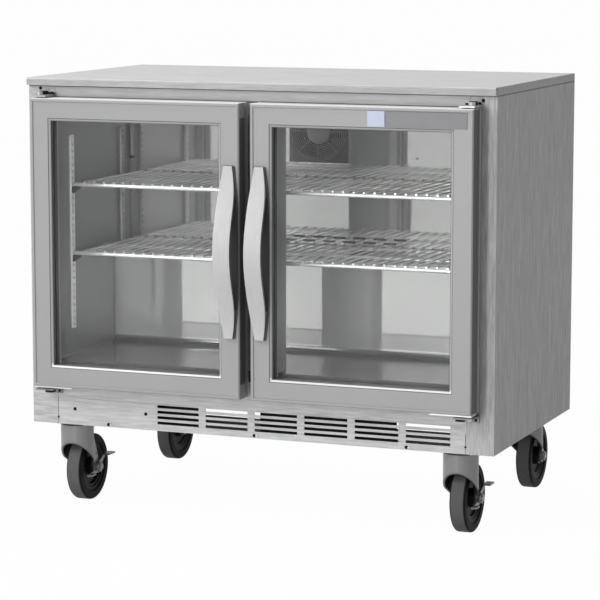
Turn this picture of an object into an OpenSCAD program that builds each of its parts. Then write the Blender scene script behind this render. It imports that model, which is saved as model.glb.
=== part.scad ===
// Undercounter refrigerator: two glass doors, wire shelves and a rear machine bay, on four swivel casters.
// +X is to the right, -Y to the front and +Z up. The origin is on the floor, under the middle of the part.

/* [Cabinet] */
// Width across the side panels
body_w = 914; // [820:1:1100]
// Depth from the front frame to the back panel
body_d = 500; // [480:1:620]
// Height from the side panels' lower edge to the top of the worktop
body_h = 654; // [640:1:760]
// Insulated side wall, outer face to inner face
side_wall = 53.7; // [48:0.1:66]
// Insulated ceiling, inner face to the top of the worktop
ceiling_t = 48; // [42:1:60]
// Insulated back wall behind the evaporator
back_wall = 47; // [40:1:60]
// Height of the base compartment under the insulated floor
base_h = 75; // [66:1:90]
// Insulated floor, wall and roof of the machine bay
floor_t = 50; // [40:1:56]
// Sheet of the outer panels
skin = 1.2; // [0.8:0.1:2]
// Sheet of the inner liner
liner_t = 1; // [0.6:0.1:1.6]

/* [Worktop] */
// Height of the folded edge
top_edge = 14; // [10:1:30]
// Overhang in front of the cabinet
top_overhang = 10; // [6:1:30]
// Bend radius of the front nose
top_nose = 4; // [2:0.5:6]

/* [Front frame] */
// Width of the corner posts folded from the side panels
post_w = 52.5; // [50:0.5:60]
// Width of the centre mullion
mullion_w = 90; // [80:1:110]
// Depth of the centre mullion
mullion_d = 45; // [35:1:50]
// Drop of the top rail below the cabinet ceiling
rail_lip = 14; // [8:1:24]
// Depth of the top rail's lip
rail_depth = 30; // [20:1:40]
// Width of the folded flanges at the back edges
back_flange = 20; // [12:1:40]

/* [Doors] */
// Gap between a door and the outside of the cabinet
door_side_gap = 27.2; // [24:0.1:32]
// Gap between the two doors
door_mid_gap = 21.6; // [16:0.1:30]
// Height of the doors' lower edge above the side panels' lower edge
door_bottom = 79.5; // [76:0.5:95]
// Distance from the top of the worktop to the doors' upper edge
door_top_gap = 35.5; // [33:0.5:44]
// Depth of the door frame
door_t = 44; // [42:1:54]
// Room that the gasket fills between door and cabinet
gasket_t = 8; // [6:0.5:12]
// Width of the frame around the glass
frame_w = 41.5; // [39:0.5:60]
// Width of the raised rim along the frame's outer edge
rim_w = 6.5; // [5:0.5:8]
// Depth of the frame's face behind the rim
face_drop = 2; // [1:0.5:3]
// Width of the bevel round the glass
bevel_w = 5.5; // [3:0.5:7]
// Depth of the bevel
bevel_d = 3.5; // [2:0.5:6]
// Thickness of each glass pane
pane_t = 4; // [3:0.5:5]
// Air gap between the panes
pane_gap = 12; // [8:1:14]
// Grip of the frame on the edge of the glass
glass_bite = 9.5; // [7:0.5:10]
// Distance from the door's outer edge to the gasket
gasket_inset = 11; // [10.5:0.5:12]
// Width of the gasket
gasket_w = 14; // [12:0.5:14]

/* [Handles] */
// Length of a handle
handle_len = 314; // [240:1:380]
// Reach of the bow at its middle
handle_reach = 39; // [34:1:60]
// Reach of the handle at its ends
handle_foot = 6.5; // [6:0.5:12]
// Width at the ends
handle_end_w = 17.4; // [14:0.2:22]
// Width at the middle
handle_mid_w = 32.8; // [26:0.2:38]
// Length over which the handle widens
handle_flare = 80; // [50:1:100]
// Length of the finger opening
grip_len = 206; // [160:1:216]
// Thickness of the bright face strip
face_t = 1.5; // [1:0.1:2.5]
// Thickness of the bow behind the face strip
bow_t = 4; // [3:0.5:6]
// Thickness of the base against the door
grip_base = 3; // [2:0.5:4]
// How far the base stands out past the bow on each side
base_past = 2.2; // [1:0.2:2.4]
// Distance from the door's free edge to the middle of its handle
handle_inset = 19.4; // [19.2:0.1:22]

/* [Hinges] */
// Radius of the hinge pins
pin_r = 4; // [3:0.5:4.5]
// Distance from the door's outer edge to the hinge axis
pivot_inset = 10; // [9:0.5:10.5]
// Distance from the cabinet front to the hinge axis
pivot_out = 30; // [28:0.5:34]
// Length of the top hinge bracket along the door
top_bracket_w = 29; // [24:1:45]
// Length of the leaf under the door
leaf_len = 78; // [50:1:110]
// Thickness of the hinge plates
plate_t = 3; // [2.5:0.5:4]
// Gap between the door and the top hinge plate
hinge_gap = 2; // [1:0.5:4]
// Depth of a pin in the door
pin_depth = 16; // [10:1:20]

/* [Interior] */
// Distance from the front to the lower back wall
low_back = 249; // [230:1:262]
// Distance from the front to the evaporator cover
cover_y = 325; // [318:1:335]
// Height of the step in the back wall above the side panels' lower edge
step_z = 300; // [290:1:306]
// Radius of the coved corners
cove_r = 14; // [8:1:20]
// Width of the shelf pilasters
pilaster_w = 13; // [12:1:20]
// Reach of the pilasters from the wall
pilaster_t = 7; // [5:0.5:9]
// Distance from the front to the front pilasters
front_pilaster_y = 59; // [57:1:75]
// Distance from the front to the rear pilasters
rear_pilaster_y = 280; // [272:1:290]
// Pitch of the pilaster slots
slot_pitch = 12.7; // [12:0.1:26]

/* [Shelves] */
// Height of the upper shelf's front rod above the side panels' lower edge
upper_shelf_z = 450; // [430:1:470]
// Height of the lower shelf's front rod
lower_shelf_z = 319.5; // [317:0.5:335]
// Distance from the front to the shelf's front rod
shelf_front = 58; // [54:1:64]
// Depth of a shelf
shelf_d = 258; // [240:1:260]
// Radius of the front and rear rods
rod_r = 4; // [3:0.5:4.5]
// Radius of the cross wires
wire_r = 2; // [1.5:0.25:2.5]
// Pitch of the cross wires
wire_pitch = 20; // [16:0.5:30]

/* [Cooling] */
// Side of the evaporator fan's square frame
fan_w = 121; // [100:1:124]
// Number of fan blades
blades = 5; // [3:1:7]
// Length of the air slots in the evaporator cover
air_slot = 25.5; // [18:0.5:30]
// Height of the air slots
air_slot_h = 4; // [2:0.5:5]
// Pitch of the air slots along a row
air_pitch = 41.5; // [34:0.5:44]
// Pitch of the air slot rows
air_rows_pitch = 8; // [7:0.5:9]
// Width of the evaporator's finned block
coil_w = 560; // [400:1:620]
// Number of evaporator fins
coil_fins = 29; // [12:1:40]
// Radius of the compressor shell
comp_r = 76; // [64:1:84]
// Height of the compressor shell
comp_h = 160; // [130:1:190]
// Radius of the condenser fan
cond_fan_r = 72; // [56:1:80]

/* [Base grille] */
// Height of the kick grille
kick_h = 50.5; // [48:0.5:56]
// Number of slot columns
kick_cols = 6; // [4:1:6]
// Number of slot rows
kick_rows = 4; // [2:1:4]
// Length of a slot
kick_slot = 84; // [60:1:86]
// Height of a slot
kick_slot_h = 5.5; // [4:0.5:6]
// Pitch of the slot columns
kick_pitch = 98; // [92:1:100]
// Pitch of the slot rows
kick_row_pitch = 10.3; // [9:0.1:10.6]
// Plain margin between the slots and the right-hand post
kick_margin = 29; // [20:1:36]

/* [Casters] */
// Radius of the wheels
wheel_r = 63.5; // [55:0.5:66]
// Width of the tyres
tyre_w = 30; // [26:0.5:31]
// Radius of the hub under the tyre
hub_r = 46; // [38:0.5:50]
// Drop from the top of the fork to the axle
axle_drop = 90.6; // [88:0.1:100]
// Distance that the wheel trails behind the swivel axis
trail = 38; // [34:1:42]
// Radius of the fork's round front
fork_r = 33; // [33:0.5:36]
// Sheet of the fork
fork_t = 4; // [3:0.5:5]
// Drop of the fork's front edge
fork_front = 30; // [24:1:36]
// Radius of the axles
axle_r = 6; // [5:0.5:7]
// Distance from the side of the cabinet to a swivel axis
swivel_side = 73.5; // [66:0.5:100]
// Distance from the front to the front swivel axes
swivel_front = 40.7; // [40.5:0.1:70]
// Distance from the back to the rear swivel axes
swivel_back = 45; // [42:0.5:80]
// Side of the square top plates
caster_plate = 70; // [62:1:72]

/* [Hidden] */
$fn = 64;

// Clearances: pieces that run in each other, pieces that move past each other, pieces side by side
run = 0.05;
clear = 0.3;
seam = 1;
over = 1;

half_w = body_w / 2;
inner_x = half_w - side_wall;
liner_x = inner_x + liner_t;
floor_z = base_h + floor_t;
ceiling_z = body_h - ceiling_t;
lip_z = ceiling_z - rail_lip;
top_z = body_h - top_edge;
upper_back = body_d - back_wall;
bay_y = low_back + floor_t;
bay_roof = step_z - floor_t;

door_w = half_w - door_side_gap - door_mid_gap / 2;
door_h = body_h - door_top_gap - door_bottom;
door_out = door_t + gasket_t;
door_x = door_mid_gap / 2;
pivot_x = half_w - door_side_gap - pivot_inset;
glass_front = 14;
glass_back = glass_front + 2 * pane_t + pane_gap;

// Casters: height of the parts above the top of the fork
race_h = 5.7;
caster_plate_t = 4;
channel_z = 5;
channel_t = 2.5;
channel_d = 141;
channel_edge = 4;
fork_top = channel_z - clear - race_h - caster_plate_t;
wheel_z = fork_top - axle_drop;
base_z = wheel_r - wheel_z;
front_reach = door_out + handle_reach;
back_reach = max(body_d, body_d - swivel_back + trail + wheel_r);
face_y = (front_reach - back_reach) / 2;

steel = "#b9bbbc";
steel_dark = "#8d9092";
satin = "#a9abac";
black = "#202224";
rubber = "#4a4c4e";
foam = "#e6d9a8";
copper = "#b87352";

module cabinet() {
    translate([0, face_y, base_z]) children();
}

module slab(lo, hi) {
    translate(lo) cube(hi - lo);
}

module along_x(x0, x1) {
    translate([x0, 0, 0]) rotate([90, 0, 90]) linear_extrude(x1 - x0) children();
}

module along_y(y0, y1) {
    translate([0, y1, 0]) rotate([90, 0, 0]) linear_extrude(y1 - y0) children();
}

module rod_x(x0, x1, r) {
    translate([x0, 0, 0]) rotate([0, 90, 0]) cylinder(r = r, h = x1 - x0);
}

module rod_y(y0, y1, r) {
    translate([0, y0, 0]) rotate([-90, 0, 0]) cylinder(r = r, h = y1 - y0);
}

module both_sides() {
    children();
    mirror([1, 0, 0]) children();
}

module on_side(side) {
    if (side > 0) children();
    else mirror([1, 0, 0]) children();
}

// Points of an arc in the plane
function arc(c, r, a0, a1, n) =
    [for (i = [0:n]) c + r * [cos(a0 + (a1 - a0) * i / n), sin(a0 + (a1 - a0) * i / n)]];

function reversed(list) = [for (i = [len(list) - 1:-1:0]) list[i]];

// A mitred frame: its section lies between two lines of [distance in from the edge, depth from the front]
module mitred_frame(w, h, outer, inner) {
    last = inner[len(inner) - 1];
    front = inner[0][1] - over;
    back = last[1] + over;
    bar = concat([[-over, front], [inner[0][0], front]], inner, [[last[0], back], [-over, back]]);
    across = concat(outer, [for (p = reversed(outer)) [w - p[0], p[1]]]);
    upright = concat(outer, [for (p = reversed(outer)) [h - p[0], p[1]]]);
    intersection() {
        union() {
            along_x(-over, w + over) polygon([for (p = bar) [p[1], p[0]]]);
            along_x(-over, w + over) polygon([for (p = bar) [p[1], h - p[0]]]);
            translate([0, 0, -over]) linear_extrude(h + 2 * over) {
                polygon(bar);
                polygon([for (p = bar) [w - p[0], p[1]]]);
            }
        }
        translate([0, 0, -over]) linear_extrude(h + 2 * over) polygon(across);
        along_x(-over, w + over) polygon([for (p = upright) [p[1], p[0]]]);
    }
}

// Cabinet

module worktop() {
    nose = [-top_overhang + top_nose, body_h - top_nose];
    inside = top_nose - min(skin, top_nose / 2);
    color(steel) cabinet() {
        along_x(-half_w, half_w) polygon(concat(
            [[body_d, top_z], [body_d, body_h]],
            arc(nose, top_nose, 90, 180, 6),
            [[-top_overhang, top_z], [0, top_z], [0, top_z + skin], [-top_overhang + skin, top_z + skin]],
            arc(nose, inside, 180, 90, 6),
            [[body_d - skin, body_h - skin], [body_d - skin, top_z]]
        ));
        both_sides() slab([half_w - skin, 0, top_z], [half_w, body_d - skin, body_h - skin]);
        both_sides() slab([half_w - skin, -top_overhang + skin, top_z + skin],
                          [half_w, 0, body_h - top_nose]);
    }
}

module side_panel(side) {
    color(steel_dark) cabinet() on_side(side) linear_extrude(top_z) polygon([
        [half_w - post_w, 0], [half_w, 0], [half_w, body_d], [half_w - back_flange, body_d],
        [half_w - back_flange, body_d - skin], [half_w - skin, body_d - skin], [half_w - skin, skin],
        [half_w - post_w, skin]
    ]);
}

module left_side_panel() {
    side_panel(-1);
}

module right_side_panel() {
    side_panel(1);
}

module back_panel() {
    panel_x = half_w - back_flange - clear;
    color(steel) cabinet() {
        slab([-panel_x, body_d - skin, bay_roof], [panel_x, body_d, top_z]);
    }
}

module top_rail() {
    rail_x = half_w - post_w - clear;
    color(steel) cabinet() along_x(-rail_x, rail_x) polygon([
        [0, lip_z + liner_t], [0, top_z], [rail_depth, top_z], [rail_depth, top_z - skin],
        [skin, top_z - skin], [skin, lip_z + liner_t]
    ]);
}

module sill() {
    sill_x = half_w - post_w - clear;
    sill_z = kick_h + clear;
    flange = 24;
    color(steel) cabinet() along_x(-sill_x, sill_x) polygon([
        [0, sill_z], [flange, sill_z], [flange, sill_z + skin], [skin, sill_z + skin],
        [skin, floor_z - liner_t], [0, floor_z - liner_t]
    ]);
}

module centre_mullion() {
    round_r = 6;
    half = mullion_w / 2;
    color(steel_dark) cabinet() translate([0, 0, floor_z]) linear_extrude(lip_z - floor_z) polygon(concat(
        [[-half, 0], [half, 0]],
        arc([half - round_r, mullion_d - round_r], round_r, 0, 90, 6),
        arc([-half + round_r, mullion_d - round_r], round_r, 90, 180, 6)
    ));
}

// Foam boards: each is a convex block, parted from the next by a thin joint
module foam_walls() {
    joint = 0.1;
    out_x = half_w - skin;
    in_x = liner_x - joint;
    back = body_d - skin;
    color(foam) cabinet() {
        both_sides() slab([liner_x, skin, base_h + liner_t], [out_x, back, ceiling_z + liner_t - joint]);
        slab([-in_x, skin, base_h + liner_t], [in_x, bay_y - liner_t, floor_z - liner_t]);
        slab([-in_x, low_back + liner_t, floor_z - liner_t + joint], [in_x, bay_y - liner_t, bay_roof]);
        slab([-in_x, low_back + liner_t, bay_roof + liner_t], [in_x, back, step_z - liner_t]);
        slab([-in_x, upper_back + liner_t, step_z - liner_t + joint],
             [in_x, back, ceiling_z + liner_t - joint]);
        slab([-in_x, skin, lip_z + liner_t], [in_x, rail_depth - liner_t, ceiling_z + liner_t - joint]);
        slab([-out_x, rail_depth + joint, ceiling_z + liner_t], [out_x, back, body_h - skin]);
    }
}

// Side view of the inner space, grown outwards by one sheet for the liner's outer face
function cavity(grow) = concat(
    [[-over, lip_z + grow], [-over, floor_z - grow]],
    arc([low_back - cove_r, floor_z + cove_r], cove_r + grow, -90, 0, 5),
    [[low_back + grow, step_z - grow], [upper_back + grow, step_z - grow],
     [upper_back + grow, ceiling_z + grow], [rail_depth - grow, ceiling_z + grow],
     [rail_depth - grow, lip_z + grow]]
);

module liner() {
    color(satin) cabinet() intersection() {
        difference() {
            along_x(-liner_x, liner_x) polygon(cavity(liner_t));
            along_x(-inner_x, inner_x) polygon(cavity(0));
        }
        slab([-half_w, 0, 0], [half_w, body_d, body_h]);
    }
}

module bay_liner() {
    color(steel_dark) cabinet() along_x(-liner_x + clear, liner_x - clear) polygon([
        [skin, base_h], [bay_y, base_h], [bay_y, bay_roof], [body_d - skin, bay_roof],
        [body_d - skin, bay_roof + liner_t], [bay_y - liner_t, bay_roof + liner_t],
        [bay_y - liner_t, base_h + liner_t], [skin, base_h + liner_t]
    ]);
}

// Inside

fan_drop = 3;
fan_z = ceiling_z - fan_w / 2 - fan_drop;
fan_rim = 6;
fan_ring = fan_w / 2 - fan_rim;
ring_t = 3;
air_rise = 30;
air_z = step_z + air_rise;
air_cols = 2 * floor(inner_x * 0.45 / air_pitch) + 1;

module evaporator_cover() {
    edge = inner_x - clear;
    flange = 24;
    ledge_d = 6;
    ledge_drop = 8;
    ledge_z = fan_z - fan_w / 2 - ledge_drop;
    color(satin) cabinet() {
        difference() {
            union() {
                slab([-edge, cover_y, step_z], [edge, cover_y + skin, ceiling_z]);
                both_sides() slab([edge - skin, cover_y, step_z], [edge, cover_y + flange, ceiling_z]);
            }
            translate([0, 0, fan_z]) rod_y(cover_y - over, cover_y + skin + over, fan_ring + ring_t + clear);
            for (row = [0:2])
                for (i = [0:air_cols - 1 - row % 2]) {
                    x = (i - (air_cols - 1 - row % 2) / 2) * air_pitch;
                    z = air_z + (1 - row) * air_rows_pitch;
                    slab([x - air_slot / 2, cover_y - over, z - air_slot_h / 2],
                         [x + air_slot / 2, cover_y + skin + over, z + air_slot_h / 2]);
                }
        }
        slab([-fan_w / 2, cover_y - ledge_d, ledge_z], [fan_w / 2, cover_y, ledge_z + skin]);
    }
}

module evaporator_coil() {
    fin_t = 0.8;
    fin_short = 4;
    coil_rise = 46;
    coil_drop = 40;
    coil_y = cover_y + (upper_back - cover_y) * 0.47;
    coil_back = upper_back;
    coil_z = step_z + coil_rise;
    coil_top = ceiling_z - coil_drop;
    tube_r = 5;
    tube_in = 15;
    tube_edge = 20;
    tube_out = 14;
    tube_rows = 5;
    pitch = coil_w / (coil_fins - 1);
    tube_ys = [coil_y + tube_in, coil_back - tube_in];
    tube_zs = [for (i = [0:tube_rows - 1])
        coil_z + tube_edge + i * (coil_top - coil_z - 2 * tube_edge) / (tube_rows - 1)];
    color("#c9cccd") cabinet() {
        for (i = [0:coil_fins - 1]) {
            end = i == 0 || i == coil_fins - 1;
            x = -coil_w / 2 + i * pitch;
            slab([x - fin_t / 2, coil_y, coil_z],
                 [x + fin_t / 2, end ? coil_back : coil_back - fin_short, coil_top]);
        }
        for (y = tube_ys, z = tube_zs)
            translate([0, y, z]) rod_x(-coil_w / 2 - tube_out, coil_w / 2 + tube_out, tube_r);
    }
}

motor_back = 34;
motor_y = cover_y + motor_back;
shaft_r = 3;
shaft_front = 4;

module fan_motor(y0, y1, r, shaft_to) {
    rod_y(y0, y1, r);
    rod_y(shaft_to, y0 + over, shaft_r);
}

module evaporator_fan_frame() {
    plate = 3;
    strut = 5;
    depth = 26;
    motor_r = 20;
    strut_in = 16;
    color(black) cabinet() translate([0, 0, fan_z]) {
        difference() {
            union() {
                slab([-fan_w / 2, cover_y - plate, -fan_w / 2], [fan_w / 2, cover_y, fan_w / 2]);
                rod_y(cover_y - plate, cover_y + depth, fan_ring + ring_t);
            }
            rod_y(cover_y - plate - over, cover_y + depth + over, fan_ring);
        }
        for (a = [45:90:315]) rotate([0, a, 0])
            slab([strut_in, cover_y + depth - strut, -strut / 2],
                 [fan_ring + ring_t / 2, cover_y + depth, strut / 2]);
        fan_motor(cover_y + depth - strut, motor_y, motor_r, cover_y + shaft_front);
    }
}

// Blades set at a pitch, trimmed to a ring between hub and tip
module impeller(y0, y1, hub, tip) {
    mid = (y0 + y1) / 2;
    blade_t = 2;
    pitch = 32;
    difference() {
        union() {
            rod_y(y0, y1, hub);
            intersection() {
                difference() {
                    rod_y(y0, y1, tip);
                    rod_y(y0 - over, y1 + over, hub - 1);
                }
                for (i = [0:blades - 1]) rotate([0, 360 * i / blades, 0])
                    translate([0, mid, 0]) rotate([pitch, 0, 0]) {
                        width = 2 * PI * hub / blades * 1.4;
                        slab([0, -blade_t / 2, -width / 2], [tip + over, blade_t / 2, width / 2]);
                    }
            }
        }
        rod_y(y0 - over, y1 + over, shaft_r + run);
    }
}

module evaporator_fan_blade() {
    front = 5;
    back = 19;
    hub_r = 19;
    tip_gap = 2;
    color("#2c2f31") cabinet() translate([0, 0, fan_z])
        impeller(cover_y + front, cover_y + back, hub_r, fan_ring - tip_gap);
}

module fan_guard() {
    frame_t = 3;
    guard_y = cover_y - frame_t;
    guard_r = 1.3;
    spoke_r = 1;
    guard_out = 2;
    ring_count = 7;
    rings = [for (i = [1:ring_count]) (fan_ring + guard_out) * i / ring_count];
    color("#6b6f72") cabinet() translate([0, guard_y - guard_r, fan_z]) {
        for (r = rings) rotate([90, 0, 0]) rotate_extrude() translate([r, 0]) circle(guard_r, $fn = 16);
        for (a = [0:45:315]) rotate([0, a, 0])
            translate([0, -spoke_r / 2, 0]) rod_x(rings[0], fan_ring + guard_out, spoke_r);
    }
}

module drain_trough() {
    wall = 1.5;
    margin = 20;
    gap = 30;
    x = coil_w / 2 + margin;
    front = cover_y + gap;
    back = upper_back;
    height = 26;
    color(steel_dark) cabinet() difference() {
        slab([-x, front, step_z], [x, back, step_z + height]);
        slab([-x + wall, front + wall, step_z + wall], [x - wall, back - wall, step_z + height + over]);
    }
}

pilaster_top = ceiling_z - 62;
front_pilaster_z = floor_z + 51;
rear_pilaster_z = step_z + 2;

module pilaster(y, z0) {
    sheet = 1.5;
    slot_w = pilaster_w - 2 * sheet - 3;
    slot_h = 4.5;
    x0 = inner_x - pilaster_t;
    slots = floor((pilaster_top - z0 - slot_pitch) / slot_pitch);
    difference() {
        slab([x0, y - pilaster_w / 2, z0], [inner_x, y + pilaster_w / 2, pilaster_top]);
        slab([x0 + sheet, y - pilaster_w / 2 + sheet, z0 - over],
             [inner_x + over, y + pilaster_w / 2 - sheet, pilaster_top + over]);
        for (i = [0:slots]) {
            z = z0 + slot_pitch * (i + 0.5);
            slab([x0 - over, y - slot_w / 2, z - slot_h / 2],
                 [x0 + sheet + over, y + slot_w / 2, z + slot_h / 2]);
        }
    }
}

module shelf_pilasters() {
    color("#d4d6d7") cabinet() both_sides() {
        pilaster(front_pilaster_y, front_pilaster_z);
        pilaster(rear_pilaster_y, rear_pilaster_z);
    }
}

shelf_x = inner_x - pilaster_t - 2;
side_rod_r = 3;

module shelf_clips() {
    arm = 14;
    drop = 13;
    clip_w = pilaster_w - 3;
    x1 = inner_x - pilaster_t;
    color("#3c3f41") cabinet() both_sides()
        for (z = [upper_shelf_z, lower_shelf_z], y = [front_pilaster_y, rear_pilaster_y])
            along_y(y - clip_w / 2, y + clip_w / 2) polygon([
                [x1, z - rod_r], [x1 - arm, z - rod_r], [x1 - arm, z - rod_r - 3], [x1, z - rod_r - drop]
            ]);
}

module shelf(z) {
    back = shelf_front + shelf_d;
    wires = floor((2 * shelf_x - 2 * wire_pitch) / wire_pitch);
    wire_z = rod_r + wire_r * 0.5;
    color("#dfe1e2") cabinet() translate([0, 0, z]) {
        for (y = [shelf_front, back]) translate([0, y, 0]) rod_x(-shelf_x, shelf_x, rod_r);
        translate([0, (shelf_front + back) / 2, rod_r - side_rod_r]) rod_x(-shelf_x, shelf_x, side_rod_r);
        both_sides() translate([shelf_x - side_rod_r, 0, side_rod_r - rod_r])
            rod_y(shelf_front, back, side_rod_r);
        for (i = [0:wires])
            translate([(i - wires / 2) * wire_pitch, 0, wire_z])
                rod_y(shelf_front - wire_r, back + wire_r, wire_r);
    }
}

module upper_shelf() {
    shelf(upper_shelf_z);
}

module lower_shelf() {
    shelf(lower_shelf_z);
}

// Base and machine bay

module channel(y0, y1) {
    x1 = half_w - skin;
    slab([-x1, y0, channel_z], [x1, y1, channel_z + channel_t]);
    both_sides() slab([x1 - channel_t, y0, channel_z], [x1, y1, base_h]);
}

front_channel = channel_edge;
rear_channel = body_d - channel_edge - channel_d;

module base_channels() {
    lip = 2.5;
    x1 = half_w - skin;
    color(steel_dark) cabinet() {
        channel(front_channel, front_channel + channel_d);
        slab([-x1, skin + clear, 0.5], [x1, skin + clear + lip, channel_z + channel_t]);
        channel(rear_channel, rear_channel + channel_d);
    }
}

tray_z = channel_z + channel_t;
tray_x = inner_x - 12;
tray_y = bay_y + 3;
tray_back = body_d - skin - 2;
bay_mid = (tray_y + tray_back) / 2;

module machine_tray() {
    wall = tray_t;
    rim = 14;
    color(steel_dark) cabinet() difference() {
        slab([-tray_x, tray_y, tray_z], [tray_x, tray_back, tray_z + rim]);
        slab([-tray_x + wall, tray_y + wall, tray_z + wall],
             [tray_x - wall, tray_back - wall, tray_z + rim + over]);
    }
}

tray_t = 2;
bench_z = tray_z + tray_t;
comp_side = 367;
comp_x = half_w - comp_side;

module compressor() {
    foot_h = 18;
    dome = comp_r * 0.45;
    color(black) cabinet() translate([comp_x, bay_mid, bench_z]) {
        translate([0, 0, foot_h]) rotate_extrude() polygon(concat(
            [[0, 0], [comp_r - 14, 0]],
            arc([comp_r - 14, 14], 14, -90, 0, 5),
            [for (a = [0:10:90]) [comp_r * cos(a), comp_h - dome + dome * sin(a)]],
            [[0, comp_h]]
        ));
        slab([-comp_r, -comp_r * 0.5, foot_h - 4], [comp_r, comp_r * 0.5, foot_h + 2]);
        for (x = [-1, 1], y = [-1, 1])
            translate([x * (comp_r - 12), y * (comp_r * 0.5 - 12), 0]) cylinder(r = 10, h = foot_h - 3);
        slab([comp_r - 8, -24, foot_h + 40], [comp_r + 34, 24, foot_h + 92]);
    }
}

cond_side = 127;
cond_x = cond_side - half_w;
cond_t = 56;
cond_drop = 20;
cond_top = bay_roof - cond_drop;
cond_in = 6;
cond_mid_z = (bench_z + cond_top) / 2;

module condenser_coil() {
    fin_t = 1;
    fins = 18;
    y0 = tray_y + cond_in;
    y1 = tray_back - cond_in;
    tube_r = 4.5;
    tube_in = 14;
    tube_edge = 20;
    tube_out = 3;
    tube_rows = 5;
    color(copper) cabinet() {
        for (i = [0:fins - 1]) {
            y = y0 + (y1 - y0 - fin_t) * i / (fins - 1);
            slab([cond_x, y, bench_z], [cond_x + cond_t, y + fin_t, cond_top]);
        }
        for (x = [cond_x + tube_in, cond_x + cond_t - tube_in], i = [0:tube_rows - 1])
            translate([x, 0, bench_z + tube_edge
                       + i * (cond_top - bench_z - 2 * tube_edge) / (tube_rows - 1)])
                rod_y(y0 - tube_out, y1 + tube_out, tube_r);
    }
}

shroud_x = cond_x + cond_t;

// Carries a piece that is drawn along Y over to the condenser fan's axis, which lies along X
module at_cond_fan() {
    translate([shroud_x, bay_mid, cond_mid_z]) rotate([0, 0, -90]) children();
}

module condenser_fan_shroud() {
    plate = 2;
    ring_d = 24;
    ring_gap = 3;
    ring_wall = 3;
    foot = 40;
    foot_t = 3;
    foot_w = 12;
    motor_at = 48;
    motor_l = 44;
    motor_r = 26;
    stand_at = 8;
    stand = cond_mid_z - bench_z;
    color(steel_dark) cabinet() {
        at_cond_fan() {
            difference() {
                union() {
                    slab([tray_y + cond_in - bay_mid, 0, -stand],
                         [tray_back - cond_in - bay_mid, plate, cond_top - cond_mid_z]);
                    rod_y(0, ring_d, cond_fan_r + ring_gap + ring_wall);
                }
                rod_y(-over, ring_d + over, cond_fan_r + ring_gap);
            }
            fan_motor(motor_at, motor_at + motor_l, motor_r, shaft_front);
            slab([-foot_w, motor_at + stand_at, -stand],
                 [foot_w, motor_at + stand_at + foot_t, foot_t - motor_r]);
            slab([-foot_w, motor_at + stand_at, -stand],
                 [foot_w, motor_at + stand_at + foot, foot_t - stand]);
        }
    }
}

module condenser_fan_blade() {
    front = 5;
    back = 22;
    hub_r = 20;
    color("#9aa0a3") cabinet() at_cond_fan() impeller(front, back, hub_r, cond_fan_r);
}

module rear_grille() {
    panel_x = half_w - back_flange - clear;
    z0 = channel_z + channel_t + clear;
    z1 = bay_roof - clear;
    cols = 5;
    rows = 10;
    slot = 110;
    slot_h = 7;
    color(steel_dark) cabinet() difference() {
        slab([-panel_x, body_d - skin, z0], [panel_x, body_d, z1]);
        for (c = [0:cols - 1], r = [0:rows - 1]) {
            x = (c - (cols - 1) / 2) * (2 * panel_x - 60) / cols;
            z = z0 + 24 + r * (z1 - z0 - 48) / (rows - 1);
            slab([x - slot / 2, body_d - skin - over, z - slot_h / 2],
                 [x + slot / 2, body_d + over, z + slot_h / 2]);
        }
    }
}

// Middle of the slot block, which leaves a plain part on the left for the control box
kick_mid_x = half_w - post_w - kick_margin - (kick_cols * kick_pitch - (kick_pitch - kick_slot)) / 2;
kick_mid_z = kick_h / 2 + 5.3;

module kick_grille() {
    kick_x = half_w - post_w - seam;
    color(steel) cabinet() difference() {
        slab([-kick_x, 0, 0], [kick_x, skin, kick_h]);
        for (c = [0:kick_cols - 1], r = [0:kick_rows - 1]) {
            x = kick_mid_x + (c - (kick_cols - 1) / 2) * kick_pitch;
            z = kick_mid_z + (r - (kick_rows - 1) / 2) * kick_row_pitch;
            slab([x - kick_slot / 2, -over, z - kick_slot_h / 2],
                 [x + kick_slot / 2, skin + over, z + kick_slot_h / 2]);
        }
    }
}

module control_box() {
    box_x = -half_w + post_w + 17;
    box_w = 165;
    box_d = 52;
    z0 = channel_z + channel_t + clear;
    color(black) cabinet() slab([box_x, skin, z0], [box_x + box_w, skin + box_d, kick_h - 3]);
}

// Doors, drawn on the right and mirrored to the left

module door_at(side) {
    cabinet() on_side(side) translate([door_x, -door_out, door_bottom]) children();
}

// Section of the door frame, outer line: rounded front edge, groove along the side
edge_cut = 2;
groove_d = 5;
groove_front = 16;
groove_back = 8;
function frame_outer() = [
    [edge_cut, 0], [0, edge_cut], [0, door_t - groove_front], [groove_d, door_t - groove_front],
    [groove_d, door_t - groove_back], [0, door_t - groove_back], [0, door_t]
];

// Inner line: raised rim, face, bevel to the glass, glass groove
rim_slope = 1;
back_step = 4;
function frame_inner() = [
    [rim_w - rim_slope, 0], [rim_w, face_drop], [frame_w - bevel_w, face_drop],
    [frame_w, face_drop + bevel_d], [frame_w, glass_front],
    [frame_w - glass_bite - over, glass_front], [frame_w - glass_bite - over, glass_back],
    [frame_w - back_step, glass_back], [frame_w - back_step, door_t]
];

module door_frame(side) {
    pin = [door_w - pivot_inset, door_out - pivot_out];
    color(satin) door_at(side) difference() {
        mitred_frame(door_w, door_h, frame_outer(), frame_inner());
        for (z = [-over, door_h - pin_depth])
            translate([pin[0], pin[1], z]) cylinder(r = pin_r + run, h = pin_depth + over);
    }
}

module door_glass(side) {
    edge = frame_w - glass_bite;
    color("#cfe3e6", 0.35) door_at(side)
        for (y = [glass_front, glass_back - pane_t])
            slab([edge, y, edge], [door_w - edge, y + pane_t, door_h - edge]);
}

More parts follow.
